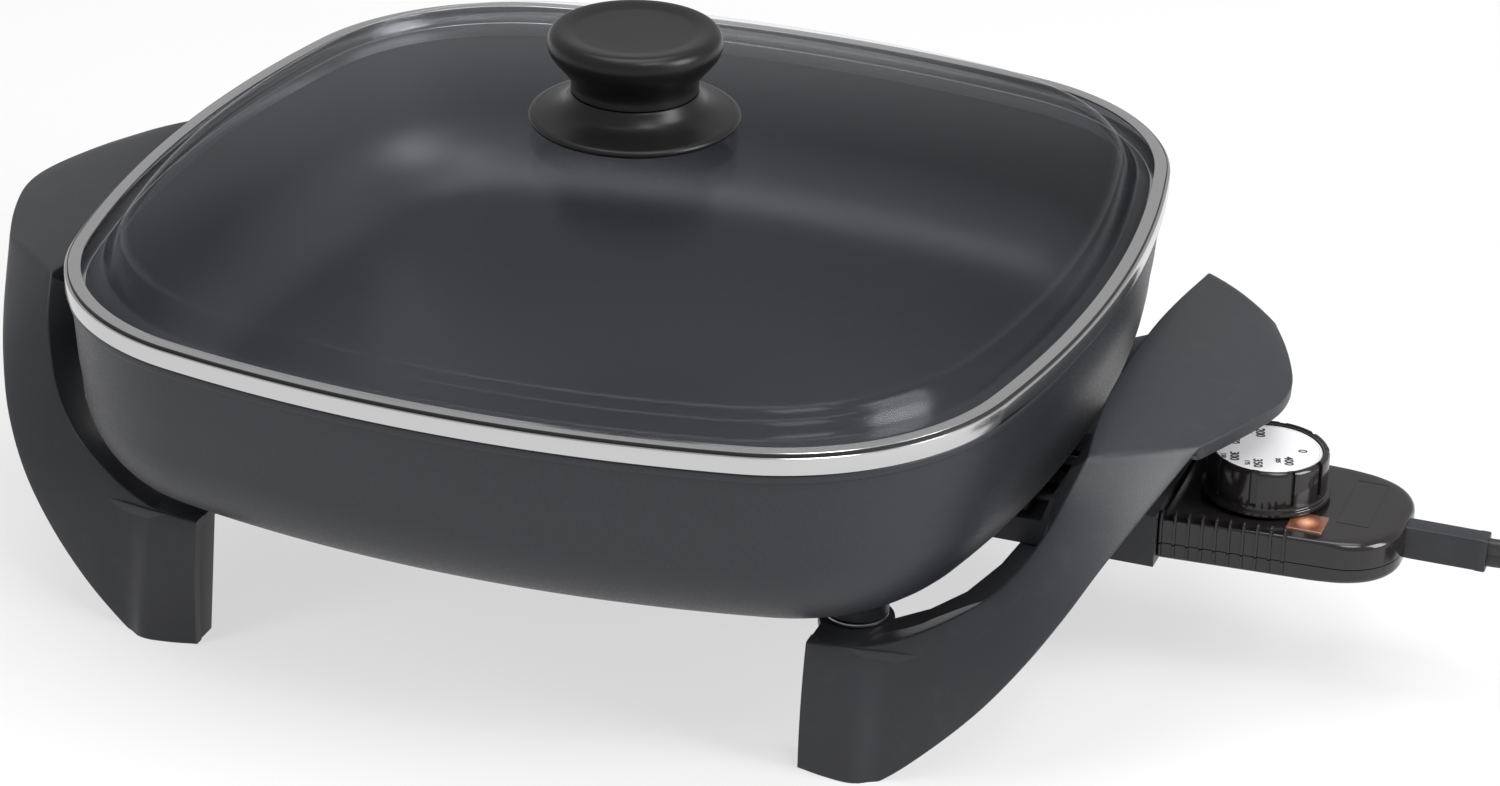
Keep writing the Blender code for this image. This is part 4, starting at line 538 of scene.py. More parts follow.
def amber_lens(name, colour):
    """Amber lens: a warm glow that is brightest near its middle, under clear gloss."""
    graph = Graph(name, Coat_Weight=0.6, Coat_Roughness=0.05, Emission_Strength=0.5)
    middle = graph.place(shift=(-(LENS_X + PAN_X), 0.0152, -CONTROL_TOP))
    away = graph.add("ShaderNodeVectorMath", {"operation": "LENGTH"}, {0: middle}, "Value")
    glow = (1.0 - away * 230.0).clamped() ** 1.8
    ribs = graph.noise(1.0, 1.0, 0.5, (1400, 60, 60))
    cold, hot = (0.02, 0.004, 0.001), (0.92, 0.42, 0.22)
    graph.set(Base_Color=graph.blend(glow, colour, hot), Emission_Color=graph.blend(glow, cold, hot))
    graph.set(Roughness=ribs * 0.12 + 0.10)
    graph.bump(ribs, 0.00005)
    return graph.material


def dial_face(name, colour):
    """Printed plate of the dial: satin silver, lightly turned, with a fine line near its edge."""
    graph = Graph(name, Specular_IOR_Level=0.4)
    middle = graph.place((1, 1, 0), (-(DIAL_X + PAN_X), 0, 0))
    away = graph.add("ShaderNodeVectorMath", {"operation": "LENGTH"}, {0: middle}, "Value")
    turning = graph.add("ShaderNodeTexNoise", {"noise_dimensions": "1D"}, {"W": away, "Scale": 5200.0})
    line = away.above(0.01495) - away.above(0.01515)
    graph.set(Base_Color=graph.blend(line * 0.7, colour, scaled(colour, 0.35)))
    graph.set(Roughness=turning * 0.12 + 0.42)
    graph.bump(turning, 0.000004)
    return graph.material


def cord_jacket(name, colour):
    """Vinyl jacket: a fine matte skin with faint marks of the extruder along it, from the piece's own UVs."""
    graph = Graph(name)
    where = graph.add("ShaderNodeUVMap", {"uv_map": "along"})
    long = graph.add("ShaderNodeMapping", None, {"Vector": where, "Scale": (14.0, 160.0, 1.0)})
    streak = graph.add("ShaderNodeTexNoise", None, {"Vector": long, "Scale": 1.0, "Detail": 3.0})
    fine = graph.noise(1800.0, 2.0)
    graph.set(Base_Color=graph.blend(streak, scaled(colour, 0.8), scaled(colour, 1.3)))
    graph.set(Roughness=streak * 0.12 + fine * 0.06 + 0.36)
    graph.bump(fine * 0.5 + streak, 0.00003)
    return graph.material


FINISHES = {}


def finish_of(key):
    """The material of a slot, made at its first use from the sidebar's colours."""
    looks = bpy.context.scene.skillet_looks
    makers = {
        "pan_coating": (pan_coating, looks.pan_colour[:], looks.fleck_size),
        "element_sheath": (brushed_metal, (0.20, 0.19, 0.175), 0.46, (900, 900, 900), 0.00002, 0.7),
        "black_moulding": (moulding, looks.handle_colour[:], 0.43, 2400.0, 0.00004),
        "gloss_moulding": (moulding, looks.control_colour[:], 0.14, 700.0, 0.000006, 0.5),
        "knob_moulding": (moulding, looks.knob_colour[:], 0.32, 1900.0, 0.00002, 0.28),
        "band_steel": (brushed_metal, looks.band_colour[:], 0.17),
        "fastener_steel": (brushed_metal, (0.46, 0.46, 0.45), 0.34, (700, 700, 2200), 0.00001, 0.4),
        "contact_brass": (brushed_metal, (0.60, 0.42, 0.15), 0.30, (1500, 300, 1500), 0.00001, 0.4),
        "ceramic": (glazed, (0.70, 0.68, 0.62), 0.5, 0.5),
        "lid_glass": (clear_glass, (0.90, 0.91, 0.94), looks.glass_haze),
        "gasket_silicone": (glazed, (0.16, 0.16, 0.16), 0.6, 0.3),
        "amber_lens": (amber_lens, looks.lens_colour[:]),
        "dial_plate": (dial_face, looks.plate_colour[:]),
        # A near-black ring that draws the dark line round the band's step.
        "seal": (glazed, (0.006, 0.006, 0.006), 0.6, 0.0),
        "dial_ink": (glazed, (0.035, 0.035, 0.04), 0.5, 0.2),
        "cord_jacket": (cord_jacket, looks.cord_colour[:]),
    }
    if key not in FINISHES:
        maker, *values = makers[key]
        FINISHES[key] = maker(key, *values)
    return FINISHES[key]


# Placing pieces


def mesh_of(name, form):
    """A mesh from a form that is given in the pan's own frame."""
    mesh = bpy.data.meshes.new(name)
    points = form.points + np.array([PAN_X, 0, 0])
    mesh.from_pydata(points.tolist(), [], [row for group in form.faces for row in group.tolist()])
    return mesh


def cleaned(mesh, flatten=False):
    """Merges doubled points, joins flat neighbours if asked, and turns the faces outwards."""
    work = bmesh.new()
    work.from_mesh(mesh)
    bmesh.ops.remove_doubles(work, verts=work.verts, dist=2e-6)
    if flatten:
        bmesh.ops.dissolve_limit(work, angle_limit=math.radians(0.5), verts=work.verts, edges=work.edges)
    bmesh.ops.recalc_face_normals(work, faces=work.faces)
    work.to_mesh(mesh)
    work.free()
    return mesh


def piece(name, form, body, slot, replaced=(), finish=None, sharp=35.0):
    """One object from a form. Edges above the angle are kept sharp."""
    return placed(name, cleaned(mesh_of(name, form)), body, slot, replaced, finish, sharp)


def placed(name, mesh, body, slot, replaced=(), finish=None, sharp=35.0):
    """The object, with its body, its slot and the solids that it replaces."""
    mesh.shade_smooth()
    mesh.set_sharp_from_angle(angle=math.radians(sharp))
    mesh.materials.clear()
    mesh.materials.append(finish_of(finish or slot))
    made = bpy.data.objects.new(name, mesh)
    bpy.context.scene.collection.objects.link(made)
    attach(made, body)
    if replaced:
        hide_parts(*replaced)
    return made


def softened(name, node, body, slot, width=0.0004, angle=40.0, finish=None):
    """A merged copy of a solid with its edges rounded by a Bevel modifier."""
    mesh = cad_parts[node].data.copy()
    mesh.name = name
    made = placed(name, cleaned(mesh, flatten=True), body, slot, (node,), finish)
    bevel = made.modifiers.new("rounded edges", "BEVEL")
    bevel.width = width
    bevel.segments = 2
    bevel.limit_method = "ANGLE"
    bevel.angle_limit = math.radians(angle)
    return made


# Sizes and colours that a user would change


def colour(name, words, value):
    """A colour in the sidebar."""
    return FloatVectorProperty(name=name, description=words, subtype="COLOR", default=value)


def length(name, words, value):
    """A length in the sidebar."""
    return FloatProperty(name=name, description=words, unit="LENGTH", default=value)


class SkilletLooks(bpy.types.PropertyGroup):
    """Colours and finishes"""

    pan_colour: colour("Pan coating", "Colour of the non-stick coating", (0.0150, 0.0160, 0.0200))
    fleck_size: length("Fleck", "Width of one cell of the metallic fleck", 0.00042)
    handle_colour: colour("Handles", "Colour of the matte moulding", (0.026, 0.027, 0.031))
    control_colour: colour("Heat control", "Colour of the gloss moulding", (0.014, 0.012, 0.012))
    knob_colour: colour("Knob", "Colour of the satin moulding", (0.0085, 0.008, 0.008))
    band_colour: colour("Band", "Colour of the steel band", (0.56, 0.56, 0.565))
    lens_colour: colour("Lens", "Colour of the lamp's lens", (0.15, 0.052, 0.030))
    plate_colour: colour("Dial plate", "Colour of the dial's plate", (0.95, 0.95, 0.97))
    cord_colour: colour("Cord", "Colour of the cord's jacket", (0.020, 0.020, 0.021))
    glass_haze: FloatProperty(
        name="Glass haze",
        description="Share of light that the glass scatters back",
        subtype="FACTOR",
        default=0.003,
    )


class SkilletSizes(bpy.types.PropertyGroup):
    """Sizes of the small detail"""

    rim_round: length("Rim edge", "Radius of the edges of the pan's rim", 0.0006)
    band_groove: length("Band step", "Height of the step round the band's top", 0.0010)
    handle_edge: length("Handle edge", "Radius of the upper edges of the handles", 0.0009)
    fin_rise: length("Fin rise", "Height of the grip fins over the control's top", 0.0024)
    slot_depth: length("Dial slot", "Depth of the slots round the dial", 0.0012)
    dial_slots: IntProperty(name="Dial slots", description="Slots round the dial", default=10, min=3)
    number_size: length("Numbers", "Height of the numbers on the dial's plate", 0.0037)
    cord_ridge: length("Cord valley", "Depth of the valley between the cord's two wires", 0.0007)


# Stage


CAMERA_TURN = (
    (0.939428, 0.342208, 0.019232),
    (-0.16823, 0.411482, 0.895757),
    (0.298621, -0.844735, 0.444127),
)
CAMERA_PLACE = (0.445166 + PAN_X, -1.14919, 0.662001)
CAMERA_LENS = 105.7607
FLOOR_HALF = 4.0
FLOOR_LIFT = 0.62
WORLD_LIGHT = 0.35
WORLD_MIRRORED = 0.35
PATHS = ("Camera", "Transmission", "Glossy")

# Each lamp: place, the point that it faces, width, height, power, and whether glass and metal mirror it
LAMPS = {
    "lamp_top": ((-0.1, 0.1, 2.0), (-0.03, 0.0, 0.08), 1.5, 1.3, 20.0, True),
    "lamp_key": ((0.80, -0.72, 1.75), (-0.10, 0.05, 0.07), 0.6, 0.6, 9.0, True),
    "lamp_right": ((1.37, -0.10, 0.80), (0.05, 0.0, 0.06), 0.6, 0.9, 19.0, True),
    "lamp_left": ((-0.93, -1.11, 0.95), (-0.05, 0.0, 0.06), 0.45, 0.9, 7.0, False),
}


def emitting_floor(name, colour, lift):
    """A pale floor that takes the object's shadow. What the camera, metal and glass see is raised towards
    white, and the light on the object isn't."""
    graph = Graph(name, Roughness=0.9, Specular_IOR_Level=0.0)
    grain = graph.noise(3.0)
    graph.set(Base_Color=graph.blend(grain, colour, scaled(colour, 0.99)))
    path = graph.nodes.new("ShaderNodeLightPath")
    camera, clear, glossy = (Value(graph, path.outputs[f"Is {kind} Ray"]) for kind in PATHS)
    share = (camera + clear + glossy).clamped() * lift
    glow = graph.add("ShaderNodeEmission")
    tree = graph.material.node_tree
    mix_to_output(tree, "Material Output", share.socket, graph.shader.outputs[0], glow.socket)
    return graph.material


def softbox(name, place, target, width, height, power, mirrored):
    """A soft area lamp that faces a point; glass and metal mirror it only if told to."""
    lamp = bpy.data.lights.new(name, "AREA")
    lamp.shape = "RECTANGLE"
    lamp.size, lamp.size_y, lamp.energy = width, height, power
    made = bpy.data.objects.new(name, lamp)
    way = (Vector(target) - Vector(place)).normalized()
    made.matrix_world = Matrix.Translation(place) @ way.to_track_quat("-Z", "Y").to_matrix().to_4x4()
    made.visible_glossy = mirrored
    bpy.context.scene.collection.objects.link(made)


class SKILLET_OT_stage(bpy.types.Operator):
    """Camera, floor, world and lamps"""

    bl_idname = "skillet.stage"
    bl_label = "Stage"

    def execute(self, context):
        scene = context.scene
        camera = bpy.data.cameras.new("camera")
        camera.sensor_width = 36.0
        camera.lens = CAMERA_LENS
        camera.clip_end = 30.0
        seen = bpy.data.objects.new("camera", camera)
        turn = Matrix(CAMERA_TURN).transposed().to_4x4()
        seen.matrix_world = Matrix.Translation(CAMERA_PLACE) @ turn
        scene.collection.objects.link(seen)
        scene.camera = seen
        scene.view_settings.view_transform = "Standard"
        corners = FLOOR_HALF * np.array([[-1, -1, 0], [1, -1, 0], [1, 1, 0], [-1, 1, 0]])
        mesh = bpy.data.meshes.new("floor")
        mesh.from_pydata(corners.tolist(), [], [(0, 1, 2, 3)])
        mesh.materials.append(emitting_floor("pale_floor", (0.80, 0.80, 0.80), FLOOR_LIFT))
        floor = bpy.data.objects.new("floor", mesh)
        scene.collection.objects.link(floor)
        scene.world = self.white_room()
        for name, values in LAMPS.items():
            softbox(name, *values)
        return {"FINISHED"}

    def white_room(self):
        """A plain grey room that the camera and clear glass see as white, and mirrors see half way to it:
        the share of white is the larger of the camera and transmission rays, plus a part of the glossy."""
        world = bpy.data.worlds.new("studio")
        world.use_nodes = True
        nodes, links = world.node_tree.nodes, world.node_tree.links
        plain, white = nodes["Background"], nodes.new("ShaderNodeBackground")
        plain.inputs["Color"].default_value = (1.0, 1.0, 1.0, 1.0)
        plain.inputs["Strength"].default_value = WORLD_LIGHT
        path = nodes.new("ShaderNodeLightPath")
        camera, clear, glossy = (path.outputs[f"Is {kind} Ray"] for kind in PATHS)
        seen, share = nodes.new("ShaderNodeMath"), nodes.new("ShaderNodeMath")
        seen.operation, share.operation = "MAXIMUM", "MULTIPLY_ADD"
        share.inputs[1].default_value = WORLD_MIRRORED
        for source, target in ((camera, seen.inputs[0]), (clear, seen.inputs[1])):
            links.new(source, target)
        for source, target in ((glossy, share.inputs[0]), (seen.outputs[0], share.inputs[2])):
            links.new(source, target)
        tree = world.node_tree
        mix_to_output(tree, "World Output", share.outputs[0], plain.outputs[0], white.outputs[0])
        return world


# Cord

# Points of the drop from the sleeve to the table, and of the lead from the coil to the plug
CORD_ROUTE = (
    (0.000, 0.000, 0.0490), (0.010, 0.000, 0.0488), (0.022, 0.000, 0.0440),
    (0.034, 0.000, 0.0325), (0.046, 0.000, 0.0190), (0.058, 0.000, 0.0098),
    (0.068, 0.000, 0.0060), (0.078, 0.000, 0.0053), (0.088, 0.000, 0.0053),
)
LEAD_ROUTE = (
    (0.000, 0.000, 0.0144), (0.000, 0.009, 0.0144), (0.000, 0.020, 0.0128),
    (0.000, 0.032, 0.0096), (0.000, 0.041, 0.0088), (0.000, 0.050, 0.0088),
)
# How far along the plug each share of its full width and thickness is reached
PLUG_SHARES = (
    (0, 0.40), (0.02, 0.62), (0.10, 0.80), (0.22, 0.93), (0.34, 1.0),
    (0.7, 1.0), (0.93, 1.0), (0.975, 0.96), (1.0, 0.86),
)
PLUG_LENGTH = 0.030
PLUG_HALF_WIDTH = 0.0125
PLUG_HALF_THICK = 0.0085
PLUG_Z = 0.0088
TABLE_GAP = 0.001
COIL_RADIUS = 0.046
COIL_PITCH = 0.0054
COIL_LAYER = 0.0091
TURNS_IN = 0.875
TURNS_CLIMB = 0.5
TURNS_OUT = 0.875


def coil_radius(turns):
    """The coil winds in at a steady rate and out again on a second layer."""
    reverse = TURNS_IN + TURNS_CLIMB / 2
    most = COIL_RADIUS + COIL_PITCH * reverse / 2
    return most - COIL_PITCH * np.minimum(turns, 2 * reverse - turns)


def coil_centre():
    """The coil starts one cord's width beyond the end of the drop, and turns about a point behind it."""
    x, y, _ = CORD_ROUTE[-1]
    return np.array([RELIEF_END + x + CORD_WIDTH, y + coil_radius(0.0), 0.0])


def coil_height(turns):
    """The lower layer, a climb of half a cosine wave, and the upper layer."""
    share = np.clip((turns - TURNS_IN) / TURNS_CLIMB, 0, 1)
    return TABLE_GAP + CORD_WIDTH / 2 + COIL_LAYER * (1 - np.cos(math.pi * share)) / 2


def cord_path():
    """The whole route in the pan's frame: a drop from the sleeve to the table, a round coil of two layers
    whose angle grows with its turns, and the lead to the plug."""
    run = smooth_curve(np.array(CORD_ROUTE) + np.array([RELIEF_END, 0, 0]), 8)
    turns = np.linspace(0, TURNS_IN + TURNS_CLIMB + TURNS_OUT, 216)
    angle = 2 * math.pi * turns - math.pi / 2
    out = np.stack([np.cos(angle), np.sin(angle), 0 * angle], -1)
    wound = coil_centre() + out * coil_radius(turns)[:, None]
    wound[:, 2] = coil_height(turns)
    end = wound[-1] + np.array([0, CORD_WIDTH, 0])
    flat = np.array([1, 1, 0])
    lead = smooth_curve(np.array(LEAD_ROUTE) + end * flat, 8)
    return evenly(np.vstack([run, wound, lead]), 420), end + np.array(LEAD_ROUTE[-1]) * flat


def cord_section(valley, steps=32):
    """Two round wires side by side: a band with round ends whose flat sides dip in the middle, by the
    valley's depth times a bell curve of the height."""
    angle = round_angles(steps)
    wave = np.sin(angle)
    up = CORD_THICK / 2 * wave + (CORD_WIDTH - CORD_THICK) / 2 * np.tanh(4 * wave)
    across = CORD_THICK / 2 * fuller(np.cos(angle), 0.72)
    dip = np.minimum(valley * np.exp(-((up / 0.0011) ** 2)), np.abs(across))
    return np.stack([across - np.sign(across) * dip, up * CORD_WIDTH / 2 / np.abs(up).max()], -1)


def mark_along(mesh, rows, columns):
    """A UV map named along: U runs round the section and V along the cord, from each point's own number."""
    layer = mesh.uv_layers.new(name="along")
    corner = np.zeros(len(mesh.loops), int)
    mesh.loops.foreach_get("vertex_index", corner)
    uv = np.stack([(corner % columns) / columns, np.minimum(corner // columns, rows) / rows], -1)
    layer.data.foreach_set("uv", uv.astype(np.float32).ravel())


class SKILLET_OT_cord(bpy.types.Operator):
    """Flat cord, its tie, its plug and the plug's blades"""

    bl_idname = "skillet.cord"
    bl_label = "Cord"

    def execute(self, context):
        sizes = context.scene.skillet_sizes
        path, end = cord_path()
        section = cord_section(sizes.cord_ridge)
        mesh = mesh_of("cord", swept(path, section))
        mark_along(mesh, len(path), len(section))
        cord = placed("cord", mesh, "heat_control", "cord_jacket", ("power_cord", "cord_coil", "plug_lead"))
        plug = piece("plug", plug_form(end), "heat_control", "cord_jacket", ("plug_body",), "knob_moulding")
        tie = softened("tie", "cord_tie", "heat_control", "cord_jacket", 0.0003, finish="knob_moulding")
        blades = [
            softened(f"blade_{k}", f"plug_blade_{k}", "heat_control", "contact_brass", 0.0003) for k in (1, 2)
        ]
        route = path + np.array([PAN_X, 0, 0])
        return {"FINISHED"}


def plug_form(end):
    """Plug body along +Y: rounded rectangles whose size follows a smooth curve of the length, with five
    grip ribs near the cord that rise and fall as a squared sine."""
    along = np.linspace(0, 1, 61)
    share = np.interp(along, *np.array(PLUG_SHARES).T)
    ribbed = (along > 0.14) & (along < 0.52)
    wave = np.sin((along - 0.14) / 0.38 * 5 * math.pi) ** 2
    share = (share - 0.05 * ribbed + np.where(ribbed, wave, 0) * 0.05)[:, None]
    angle = round_angles(48)[None]
    x = PLUG_HALF_WIDTH * share * fuller(np.cos(angle), 0.45)
    z = PLUG_HALF_THICK * share * fuller(np.sin(angle), 0.45)
    y = PLUG_LENGTH * along[:, None] + 0 * angle
    return capped(np.stack([end[0] + x, end[1] + y, PLUG_Z + z], -1))


# Pan


def bowl_form(ease):
    """The bowl as one closed skin: rings drawn in from the pan's outline, out over the base, up the wall,
    round the bead and the rim, and back down inside. Floors shrink to their middle."""
    foot = WALL_DRAFT * (PAN_DEPTH - BASE_BEND)
    early, late = quarter(BASE_BEND, 14)
    outer = pan_rings(foot + early, PAN_BASE + late, CORNER_TUCK)
    early, late = quarter(BASE_BEND - PAN_WALL, 14)
    inner = pan_rings(foot + PAN_WALL + early, PAN_BASE + PAN_FLOOR + late, CORNER_TUCK)[::-1]
    low = PAN_RIM - 0.0026
    neck = WALL_DRAFT * 0.0026 + 0.0009
    rise = np.linspace(PAN_BASE + BASE_BEND + 0.008, low - 0.0004, 4)
    wall = pan_rings(np.linspace(foot * 0.7, neck, 4), rise, CORNER_TUCK)
    early, late = quarter(ease, 4)
    bead = pan_rings(
        np.concatenate([[neck * 0.55], early, late, PAN_WALL - early]),
        np.concatenate([[low - 0.0001], low + late, PAN_RIM - early, PAN_RIM - late]),
    )
    shares = np.array([0.0, 0.2, 0.45, 0.7, 0.9])
    base, top = drawn_in(outer[0], shares), drawn_in(inner[-1], shares[::-1])
    return surface(np.concatenate([base, outer, wall, bead, inner, top]), close_columns=True)


def element_corners():
    """Corners of the heater's loop, which is the same at the front and the back, and their radii."""
    start, half = PAN_HALF - 0.0304, ELEMENT_HALF
    run = [(start, -PIN_Y), (half, -PIN_Y), (half, -half), (-half, -half)]
    corners = run + [(x, -y) for x, y in run[::-1]]
    return [(x, y, AXIS_Z) for x, y in corners], [0.014, 0.020, 0.020, 0.020, 0.020, 0.014]


class SKILLET_OT_pan(bpy.types.Operator):
    """Coated bowl with its posts, the ridge over the element, the probe's sheath and the guard's bosses"""

    bl_idname = "skillet.pan"
    bl_label = "Pan"

    def execute(self, context):
        ease = context.scene.skillet_sizes.rim_round
        piece("pan_bowl", bowl_form(ease), "skillet_base", "pan_coating", ("pan",))
        low = PAN_BASE - 0.0089
        profile = [
            (0, low + 0.0065), (0.0027, low + 0.0065), (0.0027, low), (0.0088, low),
            (0.0094, low + 0.0006), (0.0094, PAN_BASE - 0.0016), (0.0097, PAN_BASE - 0.0007),
            (0.0106, PAN_BASE - 0.0001), (0.0118, PAN_BASE + 0.0002), (0.0, PAN_BASE + 0.0010),
        ]
        post = turned(profile, 48)
        for index, (x, y) in enumerate(POST_PLACES):
            piece(f"pan_post_{index + 1}", post.moved(x, y), "skillet_base", "pan_coating", ("pan",))
        path = evenly(bent_path(*element_corners()), 260)
        half = [(0.0038, 0.0006), (0.0048, -0.0014), (0.0055, -0.0014), (0.0055, 0.0060)]
        outline = [(-x, y) for x, y in half[::-1]] + half
        ridge = swept(path, eased(outline, [0, 0.0003, 0.0003, 0.0004, 0.0004, 0.0003, 0.0003, 0], 2))
        piece("element_ridge", ridge, "skillet_base", "pan_coating", ("pan",))
        path[[0, -1], 0] -= 0.0002
        tube = swept(evenly(path, 300), circle(ELEMENT_RADIUS))
        piece("element_tube", tube, "skillet_base", "element_sheath", ("heating_element",))
        self.sheath()
        low = GUARD_SCREW_LOW + 0.0085
        boss = [
            (0, low + 0.005), (0.0017, low + 0.005), (0.0017, low), (0.0030, low),
            (0.0033, low + 0.0003), (0.0033, PAN_BASE + 0.006), (0, PAN_BASE + 0.006),
        ]
        for index, y in enumerate((GUARD_SCREW_Y, -GUARD_SCREW_Y)):
            form = turned(boss, 32).moved(GUARD_SCREW_X, y)
            piece(f"guard_boss_{index + 1}", form, "skillet_base", "pan_coating", ("pan",))
        return {"FINISHED"}

    def sheath(self):
        """The probe's sheath: a half-round section run along X, and a bore that goes back into it."""
        angle = round_angles(40) - math.pi / 2
        round_section = np.stack([np.cos(angle), np.sin(angle)], -1)
        wide, bore = round_section * [0.0052, 0.0048], round_section * 0.0035
        wide[:, 1] += np.where(wide[:, 1] > 0, 0.0022, 0)
        rows = (
            (wide, -0.071), (wide, -0.0307), (wide * 0.95, -0.0304),
            (bore * 1.06, -0.0304), (bore, -0.0308), (bore, -0.0697),
        )
        rings = [np.column_stack([np.full(40, PAN_HALF + x), s[:, 0], AXIS_Z + s[:, 1]]) for s, x in rows]
        piece("probe_sheath", capped(np.stack(rings)), "skillet_base", "pan_coating", ("pan",))


# Handles: each row gives the inner edge's place outwards, along and up, then the outer edge's, as shares

LEG_SHARES = (
    (-1.101, 0.948, 0.000, -1.107, 0.979, 0.000),
    (-0.949, 0.938, 0.000, -0.939, 0.996, 0.000),
    (-0.806, 0.923, 0.006, -0.778, 1.000, 0.000),
    (-0.673, 0.907, 0.038, -0.645, 0.966, 0.000),
    (-0.496, 0.887, 0.121, -0.388, 0.951, 0.130),
    (-0.321, 0.857, 0.221, -0.131, 0.918, 0.283),
    (-0.167, 0.815, 0.327, 0.078, 0.876, 0.440),
    (-0.032, 0.768, 0.481, 0.249, 0.807, 0.587),
    (0.068, 0.712, 0.654, 0.382, 0.717, 0.712),
    (0.141, 0.657, 0.837, 0.525, 0.588, 0.830),
    (0.196, 0.586, 1.000, 0.713, 0.385, 0.975),
)
GRIP_SHARES = (
    (0.196, 0.586, 1.000, 0.713, 0.385, 0.975),
    (0.137, 0.420, 1.000, 0.835, 0.266, 0.978),
    (0.099, 0.270, 1.000, 0.930, 0.155, 0.977),
    (0.082, 0.130, 1.000, 0.985, 0.070, 0.975),
    (0.076, 0.000, 1.000, 1.000, 0.000, 0.975),
)
RIB_LEG_SHARES = (0.33, 0.33, 0.40, 0.65, 0.90, 1.00, 1.00, 1.00, 1.00, 0.85, 0.60)
RIB_GRIP_SHARES = (0.60, 0.48, 0.45, 0.45, 0.45)
FLANGE_END_SHARES = ((-1.080, 0.940), (-1.080, 0.860))
FLANGE_INNER_SHARES = ((-0.590, 0.668), (-0.464, 0.551), (-0.380, 0.380), (-0.357, 0.255))
FLANGE_OUTER_SHARES = (
    (-0.080, 0.515), (-0.095, 0.760), (-0.190, 0.850),
    (-0.270, 0.880), (-0.500, 0.908), (-0.780, 0.930),
)
LEG_SPANS = 12
GRIP_SPANS = 14


def spread(values, spans):
    """Values with a number of even steps between each two of them, on straight lines."""
    return np.interp(np.arange((len(values) - 1) * spans + 1) / spans, np.arange(len(values)), values)


def skin_edges():
    """Inner and outer edge of the skin from the front foot over the grip to the rear foot. Each half is a
    smooth curve through its stations, and the crease between leg and grip is eased by averaging."""
    leg, grip = np.array(LEG_SHARES), np.array(GRIP_SHARES)

    def corners(rows, side):
        """Places of the inner (0) or the outer (1) edge, from their shares."""
        part = rows[:, 3 * side : 3 * side + 3]
        up = FLANGE_TOP + part[:, 2] * (GRIP_TOP - FLANGE_TOP) if side == 0 else part[:, 2] * GRIP_TOP
        return np.stack([PAN_HALF + part[:, 0] * GRIP_REACH, -part[:, 1] * FOOT_SPREAD, up], -1)

    curves = []
    for side in (0, 1):
        legs = smooth_curve(corners(leg, side), LEG_SPANS)
        half = corners(grip, side)
        over = smooth_curve(np.vstack([half, half[-2::-1] * [1, -1, 1]]), GRIP_SPANS)
        curve = np.vstack([legs[:-1], over, (legs[::-1] * [1, -1, 1])[1:]])
        curve[1:-1] = curve[1:-1] / 2 + (curve[:-2] + curve[2:]) / 4
        curves.append(curve)
    depth = spread(RIB_LEG_SHARES, LEG_SPANS)
    over = spread(RIB_GRIP_SHARES + RIB_GRIP_SHARES[-2::-1], GRIP_SPANS)
    return *curves, RIB_DEPTH * np.concatenate([depth[:-1], over, depth[-2::-1]])


def handle_form(edge):
    """The skin's section at each station, in the plane across the leg: a crowned face whose crown is
    4 s (1 - s), a thin outer edge that grows a lip along the grip, a back one skin lower and a rib along
    the inner edge, all rounded."""
    inner, outer, depth = skin_edges()
    across = outer - inner
    ahead = np.gradient(inner + outer, axis=0)
    out = unit(np.cross(across, ahead))
    out = out * np.where(out @ np.array([1.0, 0, 1.0]) < 0, -1, 1)[:, None]
    out[0], out[-1] = (0, -1, 0), (0, 1, 0)
    place = np.arange(len(out))
    blend = np.clip(np.minimum(place, place[::-1]) / 6, 0, 1)[:, None]
    ends = np.where(place[:, None] < len(out) / 2, out[0], out[-1])
    out = unit(out * blend + ends * (1 - blend))
    wide = np.linalg.norm(across, axis=1)
    side = unit(across)
    lip = smooth_step((outer[:, 2] - LIP_START) / LIP_RISE)
    thin = np.where(outer[:, 2] > 0.0005, EDGE_THICK, SKIN) + LIP_DEPTH * lip
    rolled = [(wide - 0.0018, -thin - 0.0004 * lip), (wide - 0.0026, -np.minimum(thin + 0.0007, 0.0035))]
    shares = (0.12, 0.25, 0.38, 0.5, 0.62, 0.75, 0.88)
    zero = 0 * wide
    face = [(wide * share, zero + SKIN_CROWN * 4 * share * (1 - share)) for share in shares]
    back = [(x, y - SKIN) for share, (x, y) in zip(shares, face) if 0.3 < share < 0.8][::-1]
    rows = [(zero, zero)] + face + [(wide, zero), (wide, -thin)] + rolled + back
    rows += [(zero + RIB_WIDTH, zero - SKIN), (zero + RIB_WIDTH, -depth), (zero, -depth)]
    corners = np.stack([np.stack(row, -1) for row in rows], 1)
    radii = [edge] + [0] * len(face) + [0.0007, 0.0007, 0.0005, 0.0004] + [0] * len(back) + [0.0008] * 3
    section = eased(corners, radii, 3)
    points = inner[:, None] + side[:, None] * section[..., :1] + out[:, None] * section[..., 1:]
    points[..., 2] = np.maximum(points[..., 2], 0.0)
    return capped(points)


